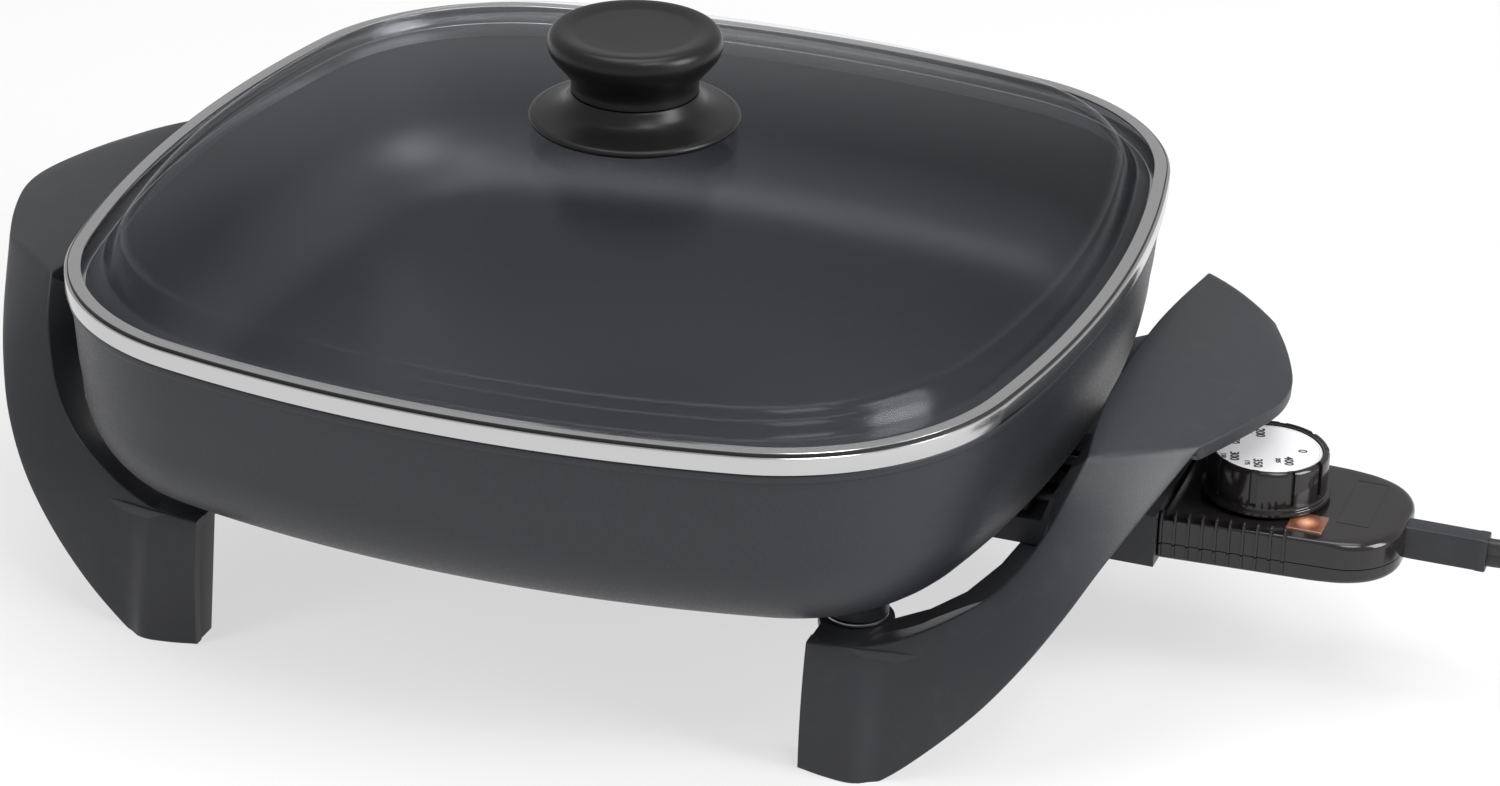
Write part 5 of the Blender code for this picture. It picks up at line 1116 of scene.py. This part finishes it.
def flange_form():
    """The flange's outline, a lobe round each post, carried through its thickness, and both end walls."""

    def at(shares):
        """Places in the plane, from shares of the grip's reach and the feet's spread."""
        return [(PAN_HALF + out * GRIP_REACH, -along * FOOT_SPREAD) for out, along in shares]

    angle = np.radians(np.linspace(205, 10, 25))
    lobe = [(POST_OUT + LOBE_RADIUS * math.cos(a), LOBE_RADIUS * math.sin(a) - POST_ALONG) for a in angle]
    inner = at(FLANGE_END_SHARES) + lobe + at(FLANGE_INNER_SHARES)
    outer = at(FLANGE_OUTER_SHARES)
    outline = inner + [(x, -y) for x, y in reversed(inner)] + [(x, -y) for x, y in reversed(outer)] + outer
    plate = slab(outline, FLANGE_TOP - 0.0035, FLANGE_TOP - 0.0002, 0.0004, 2)
    row_low, row_high = LEG_SHARES[0][4] * FOOT_SPREAD, LEG_SHARES[0][1] * FOOT_SPREAD
    x = PAN_HALF + LEG_SHARES[0][3] * GRIP_REACH + 0.0004
    section = block((0, 0), (0.0034, 0.01), 0.0007)
    rings = []
    for edge, depth, z in ((row_low, 0.0115, 0.0), (row_high, 0.0135, FLANGE_TOP - 0.0004)):
        y = -edge + 0.0018 + section[:, 1] / 0.01 * (depth - 0.0018)
        rings.append(np.stack([x + section[:, 0], y, 0 * y + z], -1))
    wall = capped(np.stack(rings))
    return plate + wall + wall.flipped(y=-1)


class SKILLET_OT_handles(bpy.types.Operator):
    """Two arched handles that end in feet, their flanges, screws and washers"""

    bl_idname = "skillet.handles"
    bl_label = "Handles"

    def execute(self, context):
        skin = handle_form(context.scene.skillet_sizes.handle_edge)
        flange = flange_form()
        base, slot = "skillet_base", "black_moulding"
        for name, side in (("right", 1), ("left", -1)):
            nodes = (f"handle_{name}",)
            piece(f"handle_skin_{name}", skin.flipped(x=side), base, slot, nodes, sharp=40)
            piece(f"handle_flange_{name}", flange.flipped(x=side), base, slot, nodes)
        low = FLANGE_TOP + GAP
        washer = turned(block((0.0029, low), (0.0094, low + 0.001), 0.0002, 2), 48, closed=True)
        screw = screw_form(0.0024, 0.0045, 0.003, 0.0332, 0.0478)
        for index, (x, y) in enumerate(POST_PLACES):
            for name, form, node in (("washer", washer, "post_washer"), ("screw", screw, "handle_screw")):
                nodes = (f"{node}_{index + 1}",)
                piece(f"{name}_{index + 1}", form.moved(x, y), base, "fastener_steel", nodes)
        return {"FINISHED"}


SCREW_DOME = (
    (0, 0), (0.14, 0), (0.22, 0), (0.36, 0.01), (0.5, 0.03),
    (0.62, 0.07), (0.8, 0.2), (0.94, 0.45), (1, 0.8), (0.98, 1),
)


def screw_form(radius, head_radius, head, low, high):
    """A screw that points up: a domed head with a cross cut in it, a neck, and a shank whose thread is a
    ripple along its length. The cross sinks the head's underside where the angle is near a quarter turn."""
    pitch = radius * 0.42
    z = np.linspace(low + head, high - radius * 0.5, 40)
    shank = np.stack([radius - pitch * 0.16 + pitch * 0.16 * np.cos(z / pitch * 2 * math.pi), z], -1)
    dome = SCREW_DOME * np.array([head_radius, head]) + [0, low]
    profile = np.vstack([dome, [(radius, low + head)], shank, [(0, high)]])
    form = turned(profile, 64)
    points = form.points.reshape(64, -1, 3)
    x, y = np.abs(points[..., 0]), np.abs(points[..., 1])
    cross = (np.minimum(x, y) < head_radius * 0.13) & (np.maximum(x, y) < head_radius * 0.55)
    sink = np.where(cross & (points[..., 2] < low + head * 0.3), head * 0.45, 0)
    points[..., 2] += sink
    return Form(points.reshape(-1, 3), form.faces)


# Terminal guard and pins


class SKILLET_OT_guard(bpy.types.Operator):
    """Terminal guard under the pan's side, its screws, the terminal pins and their bushings"""

    bl_idname = "skillet.guard"
    bl_label = "Terminal guard"

    def execute(self, context):
        softened("guard", "terminal_guard", "skillet_base", "black_moulding", 0.0005)
        base = ("skillet_base", "fastener_steel")
        start, end = PAN_HALF - 0.0301, PAN_HALF + 0.0195
        profile = [
            (0, start), (0.0022, start), (0.0022, end - 0.0022),
            (0.0020, end - 0.0010), (0.0014, end - 0.0003), (0, end),
        ]
        pin = laid(turned(profile, 32))
        section = block((0.0025, start), (0.0034, start + 0.0045), 0.0003, 2)
        bushing = laid(turned(section, 32, closed=True))
        screw = screw_form(0.0014, 0.0028, 0.0017, GUARD_SCREW_LOW, 0.0541)
        for index, side in ((1, 1), (2, -1)):
            fixing = screw.moved(GUARD_SCREW_X, side * GUARD_SCREW_Y)
            piece(f"guard_fixing_{index}", fixing, *base, (f"guard_screw_{index}",))
            place = (0, side * PIN_Y, AXIS_Z)
            piece(f"pin_{index}", pin.moved(*place), *base, (f"terminal_pin_{index}",))
            nodes = (f"pin_bushing_{index}",)
            piece(f"bushing_{index}", bushing.moved(*place), "skillet_base", "ceramic", nodes)
        return {"FINISHED"}


# Lid


# The knob's and the disc's outside, as shares of their radius and height
KNOB_SHARES = (
    (0.735, 0.02), (0.735, 0.16), (0.775, 0.27), (0.865, 0.43), (0.955, 0.58), (1.0, 0.72), (1.0, 0.84),
    (0.975, 0.93), (0.92, 0.99), (0.85, 1.0), (0.77, 0.985), (0.70, 0.965), (0.62, 0.958),
    (0.35, 0.952), (0.0, 0.95),
)
DISC_SHARES = (
    (0.998, 0.05), (0.985, 0.13), (0.95, 0.185), (0.90, 0.22),
    (0.78, 0.34), (0.69, 0.52), (0.64, 0.75), (0.61, 0.97),
)


def lid_rings(half, height):
    """The lid's outline at its edge, and nearer a circle the smaller the ring is."""
    half = np.asarray(half, float)
    mix = 1 - half / LID_HALF
    side = (SIDE_BOW_RADIUS / LID_HALF * (1 - mix) + mix) * half
    corner = (CORNER_RADIUS / LID_HALF * (1 - mix) + mix) * half
    return at_heights(rounded_square(half, side, corner), height)


def glass_height(half):
    """Upper face of the glass: a flat seat, a shoulder that rises as t t (3 - 2 t), and a dome that falls
    off with the square of the half width."""
    seat = LID_SEAT + BAND_SHEET + GAP + GLASS_THICK
    seat_half = GLASS_EDGE - GLASS_SEAT
    dome = DOME_RISE * (1 - np.minimum(half / (seat_half - SHOULDER_WIDTH), 1) ** 2)
    return seat + SHOULDER_RISE * smooth_step((seat_half - half) / SHOULDER_WIDTH) + dome


def glass_form():
    """Rings from the glass's rounded edge up over the dome to its hole, and back below; with them the share
    of a painted highlight line that each point carries, at the foot and the top of the shoulder."""
    edge = GLASS_EDGE
    foot = [edge - 0.0004, edge - 0.0012, edge - 0.004]
    shoulder = edge - GLASS_SEAT - np.linspace(0, SHOULDER_WIDTH, 13)
    dome = np.linspace(shoulder[-1] - 0.0015, GLASS_HOLE, 52)
    half = np.concatenate([foot, shoulder, dome])
    top = lid_rings(half, glass_height(half))
    low = lid_rings(half[::-1], glass_height(half[::-1]) - GLASS_THICK)
    middle = glass_height(edge) - GLASS_THICK / 2 + np.array([-0.0014, 0, 0.0014])
    rings = np.concatenate([top, low, lid_rings([edge - 0.0001, edge, edge - 0.0001], middle)])
    line = np.zeros(len(rings), np.float32)
    # Painted highlight lines: shares of extra mirror on the rings at the shoulder's foot and top.
    line[[3, 4, 14, 15]] = (0.6, 1.0, 1.0, 0.7)
    return looped(rings), np.repeat(line, rings.shape[1])


def round_lid(section):
    """A closed section of (inset, height over the seat) points carried round the lid."""
    return looped(pan_rings(section[:, 0], LID_SEAT + section[:, 1], 1.0, LID_HALF))


def band_form(groove):
    """The band's section carried round the lid: a rolled lower edge, an upright wall, a step up to the lip
    that lies on the glass, and inside a skirt that drops into the pan. Rows are inset, height, radius."""
    high, sheet, step, skirt = 0.0064, BAND_SHEET, 0.0012, 0.0062
    low = high - groove
    corners = np.array([
        (0.0, 0.0, 0.00035), (0.0, low, 0.00045), (step, low, 0.0001), (step, high, 0.0003),
        (0.0050, high, 0.0003), (0.0050, high - sheet, 0.0002), (step + sheet, high - sheet, 0.0001),
        (step + sheet, low - sheet, 0.0001), (sheet, low - sheet, 0.0002), (sheet, sheet, 0.0002),
        (skirt, sheet, 0.0003), (skirt, -0.004, 0.0003), (skirt - sheet, -0.004, 0.0003),
        (skirt - sheet, 0.0, 0.0002),
    ])
    return round_lid(eased(corners[:, :2], corners[:, 2], 3))


class SKILLET_OT_lid(bpy.types.Operator):
    """Glass, steel band, gasket, guard disc, knob, washer, screw and brass insert"""

    bl_idname = "skillet.lid"
    bl_label = "Lid"

    def execute(self, context):
        step = context.scene.skillet_sizes.band_groove
        piece("band", band_form(step), "lid", "band_steel", ("lid_band",), sharp=28)
        near, far, low, high = 0.0009, 0.0014, 0.0063 - step, 0.0062
        # A near-black ring lining the band's step, which draws the dark line between the wall and the lip.
        seal = eased([(near, low), (near, high), (far, high), (far, low)], 0.0001, 2)
        piece("band_dark_ring", round_lid(seal), "lid", "band_steel", ("lid_band",), "seal")
        form, line = glass_form()
        glass = piece("glass", form, "lid", "lid_glass", ("lid_glass",))
        # The glass carries its painted highlight lines as a point attribute.
        glass.data.attributes.new("line", "FLOAT", "POINT").data.foreach_set("value", line)
        top = float(glass_height(np.array(0.0))) + GAP
        ring = turned(block((GLASS_HOLE, top), (0.0125, top + 0.001), 0.0003), 64, closed=True)
        piece("gasket", ring, "lid", "gasket_silicone", ("knob_gasket",))
        base = top + 0.001 + GAP
        disc = turned(self.disc(base), 160, closed=True)
        piece("disc", disc, "lid", "knob_moulding", ("knob_disc",), sharp=50)
        base += DISC_HEIGHT + GAP
        piece("knob", turned(self.knob(base), 160), "lid", "knob_moulding", ("lid_knob",), sharp=50)
        under = float(glass_height(np.array(0.0095))) - GLASS_THICK - GAP
        washer = turned(block((0.0029, under - 0.0012), (0.0095, under), 0.0003), 64, closed=True)
        piece("underside_washer", washer, "lid", "band_steel", ("lid_washer",))
        head = under - 0.0012 - GAP
        screw = screw_form(0.0024, 0.0052, 0.0026, head - 0.0026, base + 0.0075)
        piece("knob_fixing", screw, "lid", "band_steel", ("knob_screw",))
        low = base + GAP
        brass = turned(block((0.0027, low), (0.0042, low + 0.0087), 0.0003, 2), 32, closed=True)
        piece("insert", brass, "lid", "contact_brass", ("knob_insert",))
        return {"FINISHED"}

    def knob(self, base):
        """Neck, flare, thick round rim and dished top, as one smooth profile."""
        outer = smooth_curve(KNOB_SHARES, 5) * [KNOB_RADIUS, KNOB_HEIGHT] + [0, base]
        hollow = [(0, 0.0093), (0.0045, 0.0093), (0.0045, 0), (0.0188, 0), (0.0194, 0.0002)]
        return np.vstack([np.array(hollow) + [0, base], outer])

    def disc(self, base):
        """Thin round rim swept up to the neck, over a hollow underside with a hub."""
        rim, top = base + 0.0005, base + DISC_HEIGHT
        foot = rim + 0.0011
        slope = smooth_curve(DISC_SHARES, 5) * [DISC_RADIUS, top - foot] + [0, foot]
        edge = [(0.0299, rim + 0.0001), (0.0304, rim), (0.0314, rim + 0.0002), (0.0321, rim + 0.0008)]
        hub = [(0.0029, base), (0.0087, base), (0.009, base + 0.0003)]
        inside = [(0.009, rim + 0.0022), (0.0279, rim + 0.0006)]
        return np.vstack([hub, inside, edge, slope, [(0.0195, top), (0.0029, top)]])


# Heat control


def control_half(x):
    """Half width of the housing where its sides are straight and taper outwards."""
    taper = (CONTROL_FAR_HALF - CONTROL_NEAR_HALF) / (CONTROL_LENGTH - CONTROL_CORNER)
    return CONTROL_NEAR_HALF + taper * (x - CONTROL_START)


def control_outline(steps=30):
    """Tapering sides and two round outer corners, as seen from above, with even points and their normals."""
    turn_x, start, corner = CONTROL_END - CONTROL_CORNER, CONTROL_START + 0.002, CONTROL_CORNER
    angle = np.linspace(-math.pi / 2, 0, steps)
    arc = np.stack([turn_x + corner * np.cos(angle), corner - CONTROL_FAR_HALF + corner * np.sin(angle)], -1)
    far, near = (turn_x, CONTROL_FAR_HALF), (CONTROL_START, control_half(CONTROL_START))
    face = [near, (near[0], -near[1]), (far[0], -far[1]), far]
    inner = eased(face, [0.0008, 0.0008, 0, 0], 3)[:8]
    sides = np.linspace((start, -control_half(start)), arc[0], 26)[:-1]
    lower = np.vstack([sides, arc])
    outline = np.vstack([inner, lower, (lower * [1, -1])[::-1]])
    outline = outline[np.linalg.norm(outline - np.roll(outline, 1, 0), axis=1) > 1e-6]
    ahead = unit(np.roll(outline, -1, 0) - np.roll(outline, 1, 0))
    return outline, np.stack([ahead[:, 1], -ahead[:, 0]], -1)


def filled(rings):
    """A flat face between an outline and the round holes in it, as triangles."""
    triangles = tessellate_polygon([[Vector(point) for point in ring] for ring in rings])
    return Form(np.vstack(rings), [np.array(triangles, int)])


FIN_STAND = 0.0008
FIN_THICK = 0.0010
SCREW_PLACES = ((0.0115, 0.0175), (0.0115, -0.0175), (0.0592, 0.0138), (0.0592, -0.0138))


def boss_rings(low, floor, high):
    """The rings of each screw's boss in the lower half: a sunk seat for the head, the hole, and the boss."""
    turn = circle(1.0, 28)
    seat = low + 0.0021
    rows = (
        (0.0030, low), (0.0030, seat), (0.0015, seat),
        (0.0015, high - 0.0001), (0.0036, high - 0.0001), (0.0036, floor),
    )
    centres = [np.array([CONTROL_START + x, y]) for x, y in SCREW_PLACES]
    return [np.stack([np.column_stack([turn * r + c, np.full(28, z)]) for r, z in rows]) for c in centres]


def shell_form(low, high, ease_low, ease_high, wall=0.0022, sheet=0.0015):
    """A hollow half of the housing: outside up and over to the middle of its closed face, and the same
    again inside, one wall thinner. Its edge is a quarter circle whose radius grows towards the outer end."""
    outline, out = control_outline()
    grow = smooth_step((outline[:, 0] - (CONTROL_END - 0.024)) / 0.014)

    def rows(ease, face, sign):
        """Rings round a quarter circle, from the wall to the face."""
        early, late = (part[:, None] * (1 + 1.6 * grow) for part in quarter(ease, 5))
        flat = outline[None] - out[None] * late[..., None]
        return np.concatenate([flat, (face - sign * early)[..., None]], -1)

    lined = outline - out * wall
    lined[:, 0] = np.maximum(lined[:, 0], CONTROL_START + wall)
    limit = np.where(lined[:, 0] < CONTROL_END - CONTROL_CORNER, control_half(lined[:, 0]) - wall, 1.0)
    lined[:, 1] = np.clip(lined[:, 1], -limit, limit)
    face, mouth, sign = (high, low, 1) if ease_high else (low, high, -1)
    outside = rows(ease_high or ease_low, face, sign)[::-1]
    first = rows(0, mouth, -sign)[:1]
    inside = at_heights(np.stack([lined, lined]), [mouth, face - sign * sheet])
    if ease_high:
        ends = drawn_in(outside[0], (0.0, 0.5, 0.9)), drawn_in(inside[-1], (0.5, 0.0))
        return surface(np.concatenate([ends[0], outside, first, inside, ends[1]]), close_columns=True)
    holes = boss_rings(face, face + sheet, mouth)
    shell = surface(np.concatenate([outside, first, inside]), close_columns=True)
    for flat, k in ((outside[0], 0), (inside[-1], -1)):
        shell = shell + filled([flat] + [hole[k] for hole in holes])
    for hole in holes:
        shell = shell + surface(hole, close_columns=True)
    return shell


def fin_profile(low, high, rise, pull):
    """One fin seen from the side, as (out from the wall, height). Its crest stands out from the wall and,
    where rise isn't nothing, its head stands over the top edge and runs back along it."""
    foot, out = -FIN_STAND, FIN_STAND - pull
    if rise:
        head = [(out - 0.0005, high + rise - pull), (-0.0019, high + rise * 0.86 - pull)]
        corners = [(foot, low), (out, low), (out, high - 0.0012)] + head + [(-0.0050, high - 0.0004)]
        return eased(corners, [0, 0.0003, 0.0012, 0.0008, 0.0010, 0], 4)
    return eased([(foot, low), (out, low), (out, high), (foot, high)], [0, 0.0003, 0.0001, 0], 4)


def fins_form(low, high, rise):
    """Upright fins along both sides. Each is a stack of side profiles across its thickness, drawn in
    towards its faces so that its crest is round, and has a small round head where it rises."""
    across = np.array([-0.5, -0.40, 0.0, 0.40, 0.5]) * FIN_THICK
    pulls = (0.0005, 0.00012, 0.0, 0.00012, 0.0005)
    stack = np.stack([fin_profile(low, high, rise, pull) for pull in pulls])
    lift = math.pi * (np.arange(11) / 10 - 0.5)
    head = turned(np.stack([0.00056 * np.cos(lift), 0.0013 * np.sin(lift)], -1), 20)
    fins = []
    for x in np.concatenate([[CONTROL_START + 0.0006], CONTROL_START + 0.0047 + 0.00406 * np.arange(9)]):
        y = -(control_half(x) + stack[..., 0])
        fins.append(capped(np.stack([x + across[:, None] + 0 * y, y, stack[..., 1]], -1)))
        if rise:
            fins.append(head.moved(x, -(control_half(x) - 0.0009), high + rise * 0.45))
    made = joined(fins)
    return made + made.flipped(y=-1)


def frame_line(low, high, z, width=0.0003):
    """A thin raised line round a bare rectangle."""
    outer = block(low, high, 0.0006, 4)
    low, high = np.array(low), np.array(high)
    middle, size = (low + high) / 2, high - low
    inner = middle + (outer - middle) * (size - 2 * width) / size
    heights = [z - 0.0003, z + 0.0001, z + 0.0001, z - 0.0003]
    return looped(at_heights(np.stack([outer, outer, inner, inner]), heights))


class SKILLET_OT_control(bpy.types.Operator):
    """Housing of the heat control with its fins, nose, lens, sleeve, screws and inner works"""

    bl_idname = "skillet.control"
    bl_label = "Heat control"

    def execute(self, context):
        rise = context.scene.skillet_sizes.fin_rise
        body, slot = "heat_control", "gloss_moulding"
        seam = SEAM_Z + GAP
        top, low = shell_form(seam, CONTROL_TOP, 0, 0.0010), shell_form(CONTROL_LOW, SEAM_Z, 0.0009, 0)
        piece("housing_top", top, body, slot, ("control_top",), sharp=30)
        piece("housing_bottom", low, body, slot, ("control_bottom",), sharp=30)
        piece("fins_top", fins_form(seam, CONTROL_TOP, rise), body, slot, ("control_top",), sharp=50)
        lower = fins_form(CONTROL_LOW + 0.0009, SEAM_Z, 0)
        piece("fins_bottom", lower, body, slot, ("control_bottom",), sharp=50)
        bare = frame_line((0.2262, -0.0108), (0.2362, 0.0180), CONTROL_TOP)
        piece("bare_field", bare, body, slot, ("control_top",))
        outline = block((LENS_X - 0.0055, -0.0205), (LENS_X + 0.0055, -0.0095), 0.0006)
        lens = slab(outline, CONTROL_TOP - 0.002, CONTROL_TOP + 0.0006)
        piece("lens", lens, body, "amber_lens", ("lamp_lens",), sharp=50)
        softened("nose", "control_nose", body, "gloss_moulding", 0.0004)
        self.sleeve(body)
        screw = screw_form(0.0013, 0.0026, 0.0014, CONTROL_LOW + GAP, seam + 0.0035)
        for index, (x, y) in enumerate(SCREW_PLACES):
            nodes = (f"housing_screw_{index + 1}",)
            form = screw.moved(CONTROL_START + x, y)
            piece(f"housing_fixing_{index + 1}", form, body, "fastener_steel", nodes)
        for index in (1, 2):
            softened(f"socket_{index}", f"socket_contact_{index}", body, "contact_brass", 0.0002)
            softened(f"blade_spring_{index}", f"thermostat_blade_{index}", body, "contact_brass", 0.0001)
            softened(f"contact_{index}", f"contact_point_{index}", body, "fastener_steel", 0.0001)
        for index in (1, 2, 3):
            softened(f"insulator_{index}", f"blade_insulator_{index}", body, "ceramic", 0.0002)
        softened("thermostat_base", "thermostat_frame", body, "fastener_steel", 0.0002)
        softened("rivet", "stack_rivet", body, "contact_brass", 0.0001)
        softened("lamp", "signal_lamp", body, "amber_lens", 0.0003)
        tip, stem = PAN_HALF - 0.0689, CONTROL_START - 0.0176
        end = float(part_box("probe_rod")[1].x) - PAN_X
        turn = np.linspace(0, math.pi / 2, 7)
        cap = PROBE_RADIUS * np.stack([np.sin(turn), 1 - np.cos(turn)], -1) + [0, tip]
        shaft = [(PROBE_RADIUS, stem - 0.0003), (0.0027, stem), (0.0015, stem), (0.0015, end), (0, end)]
        probe = laid(turned(np.vstack([cap, shaft]), 40)).moved(0, 0, AXIS_Z)
        piece("probe", probe, body, "band_steel", ("probe_rod",))
        return {"FINISHED"}

    def sleeve(self, body):
        """Strain relief: rounded rectangles along X with two shallow steps, a lip at the end and a collar
        inside the housing's wall."""
        rows = np.array([
            (CONTROL_END - 0.0047, 1.40, 0.94), (CONTROL_END - 0.0026, 1.40, 0.94),
            (CONTROL_END - 0.0024, 1.0, 0.97), (CONTROL_END + 0.0006, 1.0, 0.97),
            (CONTROL_END + 0.0010, 0.97, 0.99), (RELIEF_END - 0.0032, 0.96, 0.985),
            (RELIEF_END - 0.0028, 1.0, 1.0), (RELIEF_END - 0.0004, 1.0, 1.0), (RELIEF_END, 0.95, 0.975),
        ])
        outline = block((-0.0036, -0.00525), (0.0036, 0.00525), 0.0007, 4)
        flat = outline[None] * rows[:, None, 1:]
        x = np.broadcast_to(rows[:, :1], flat.shape[:2])
        form = capped(np.stack([x, flat[..., 0], AXIS_Z + 0.00205 + flat[..., 1]], -1))
        piece("sleeve", form, body, "cord_jacket", ("strain_relief",), "black_moulding", sharp=30)


# Dial

# Each mark: what it says, its angle in degrees and its distance from the dial's middle in metres
DIAL_MARKS = (
    ("0", 14.0, 0.0099),
    ("400", -36.5, 0.0091),
    ("350", -95.0, 0.0101),
    ("300", -136.0, 0.0118),
    ("250", 168.0, 0.0112),
    ("200", 118.0, 0.0108),
)
MARK_TURN = math.radians(-75)
SLOT_HALF = 0.00118
SLOT_EASE = 0.00024
PLATE_RADIUS = 0.0159


def dial_form(slots, depth):
    """The dial as radius over angle and height: a skirt, a wall, a bevelled crown and a recess for the
    plate. Each slot takes its depth off the wall where the distance round to its middle is small, and runs
    out on a slope near its foot."""
    low, top, wall, well = DIAL_BASE, DIAL_TOP, 0.0181, 0.0162
    rows = np.array([
        (0.0, low, 0), (0.0188, low, 0), (0.0192, low + 0.0003, 0), (0.0192, low + 0.0013, 0),
        (0.0190, low + 0.0016, 0), (0.0183, low + 0.0017, 0), (wall, low + 0.0020, 0),
        (wall, low + 0.0030, 0), (wall, low + 0.0033, 0.9), (wall, low + 0.0036, 1),
        (wall, top - 0.0012, 1), (0.0179, top - 0.0007, 1), (0.0175, top - 0.0002, 1),
        (0.0171, top, 0.5), (0.01665, top, 0), (0.0163, top - 0.0002, 0), (well, top - 0.0005, 0),
        (well, top - 0.0019, 0), (0.0, top - 0.0019, 0),
    ])
    angle = round_angles(1440)[:, None]
    pitch = 2 * math.pi / slots
    away = np.abs((angle / pitch) % 1 - 0.5) * pitch * wall
    radius = rows[None, :, 0] - depth * rows[None, :, 2] * smooth_step((SLOT_HALF - away) / SLOT_EASE)
    points = np.stack([radius * np.cos(angle), radius * np.sin(angle), rows[None, :, 1] + 0 * angle], -1)
    return surface(points, close_rows=True).moved(DIAL_X)


def words_form(words, height):
    """Text as a thin solid, made by a text object that is removed again."""
    curve = bpy.data.curves.new("mark", "FONT")
    curve.body = words
    curve.size = height
    curve.align_x = curve.align_y = "CENTER"
    curve.extrude = 0.00006
    curve.offset = height * 0.016
    holder = bpy.data.objects.new("mark", curve)
    bpy.context.scene.collection.objects.link(holder)
    bpy.context.view_layer.update()
    mesh = bpy.data.meshes.new_from_object(holder.evaluated_get(bpy.context.evaluated_depsgraph_get()))
    points = np.zeros(len(mesh.vertices) * 3, np.float32)
    mesh.vertices.foreach_get("co", points)
    form = Form(points, [np.array([tuple(face.vertices)]) for face in mesh.polygons])
    bpy.data.objects.remove(holder)
    bpy.data.curves.remove(curve)
    bpy.data.meshes.remove(mesh)
    return form


def marks_form(size, z):
    """Plain numbers in Fahrenheit, each but the 0 with a smaller one in Celsius under it, all turned the
    same way and set on the plate."""
    marks = []
    for text, angle, away in DIAL_MARKS:
        lines = [(text, size, 0.0)]
        if text != "0":
            celsius = round((int(text) - 32) / 1.8 / 5) * 5
            lines.append((str(celsius), size * 0.54, -size * 0.84))
        x, y = away * math.cos(math.radians(angle)), away * math.sin(math.radians(angle))
        for words, height, down in lines:
            form = words_form(words, height).moved(0, down).turned(MARK_TURN)
            marks.append(form.moved(DIAL_X + x, y, z))
    return joined(marks)


class SKILLET_OT_dial(bpy.types.Operator):
    """Slotted dial, its silver plate with plain numbers, and its shaft"""

    bl_idname = "skillet.dial"
    bl_label = "Dial"

    def execute(self, context):
        sizes = context.scene.skillet_sizes
        form = dial_form(sizes.dial_slots, sizes.slot_depth)
        piece("dial", form, "dial", "gloss_moulding", ("dial_knob",), sharp=38)
        top = DIAL_TOP - 0.0010
        low, edge = top - 0.0006, PLATE_RADIUS
        profile = [(0, low), (edge, low), (edge, top - 0.0002), (edge - 0.0002, top), (0, top)]
        piece("dial_face", turned(profile, 160).moved(DIAL_X), "dial", "dial_plate", ("dial_plate",))
        marks = marks_form(sizes.number_size, top + 0.00007)
        piece("dial_numbers", marks, "dial", "dial_plate", (), "dial_ink")
        softened("shaft", "dial_shaft", "dial", "fastener_steel", 0.0002)
        return {"FINISHED"}


# Sidebar


OPERATORS = (
    SKILLET_OT_stage,
    SKILLET_OT_cord,
    SKILLET_OT_pan,
    SKILLET_OT_handles,
    SKILLET_OT_guard,
    SKILLET_OT_lid,
    SKILLET_OT_control,
    SKILLET_OT_dial,
)


class SKILLET_PT_panel(bpy.types.Panel):
    """Sizes, colours and one button for each group of pieces"""

    bl_idname = "SKILLET_PT_panel"
    bl_label = "Electric skillet"
    bl_space_type = "VIEW_3D"
    bl_region_type = "UI"
    bl_category = "Skillet"

    def draw(self, context):
        for group in (context.scene.skillet_looks, context.scene.skillet_sizes):
            box = self.layout.box()
            for name in group.__annotations__:
                box.prop(group, name)
        for operator in OPERATORS:
            self.layout.operator(operator.bl_idname)


CLASSES = (SkilletLooks, SkilletSizes, *OPERATORS, SKILLET_PT_panel)


def register():
    for made in CLASSES:
        bpy.utils.register_class(made)
    bpy.types.Scene.skillet_looks = PointerProperty(type=SkilletLooks)
    bpy.types.Scene.skillet_sizes = PointerProperty(type=SkilletSizes)


def unregister():
    del bpy.types.Scene.skillet_looks
    del bpy.types.Scene.skillet_sizes
    for made in reversed(CLASSES):
        bpy.utils.unregister_class(made)


def main():
    register()
    bpy.ops.skillet.stage()
    bpy.ops.skillet.cord()
    bpy.ops.skillet.pan()
    bpy.ops.skillet.handles()
    bpy.ops.skillet.guard()
    bpy.ops.skillet.lid()
    bpy.ops.skillet.control()
    bpy.ops.skillet.dial()


if __name__ == "__main__":
    main()
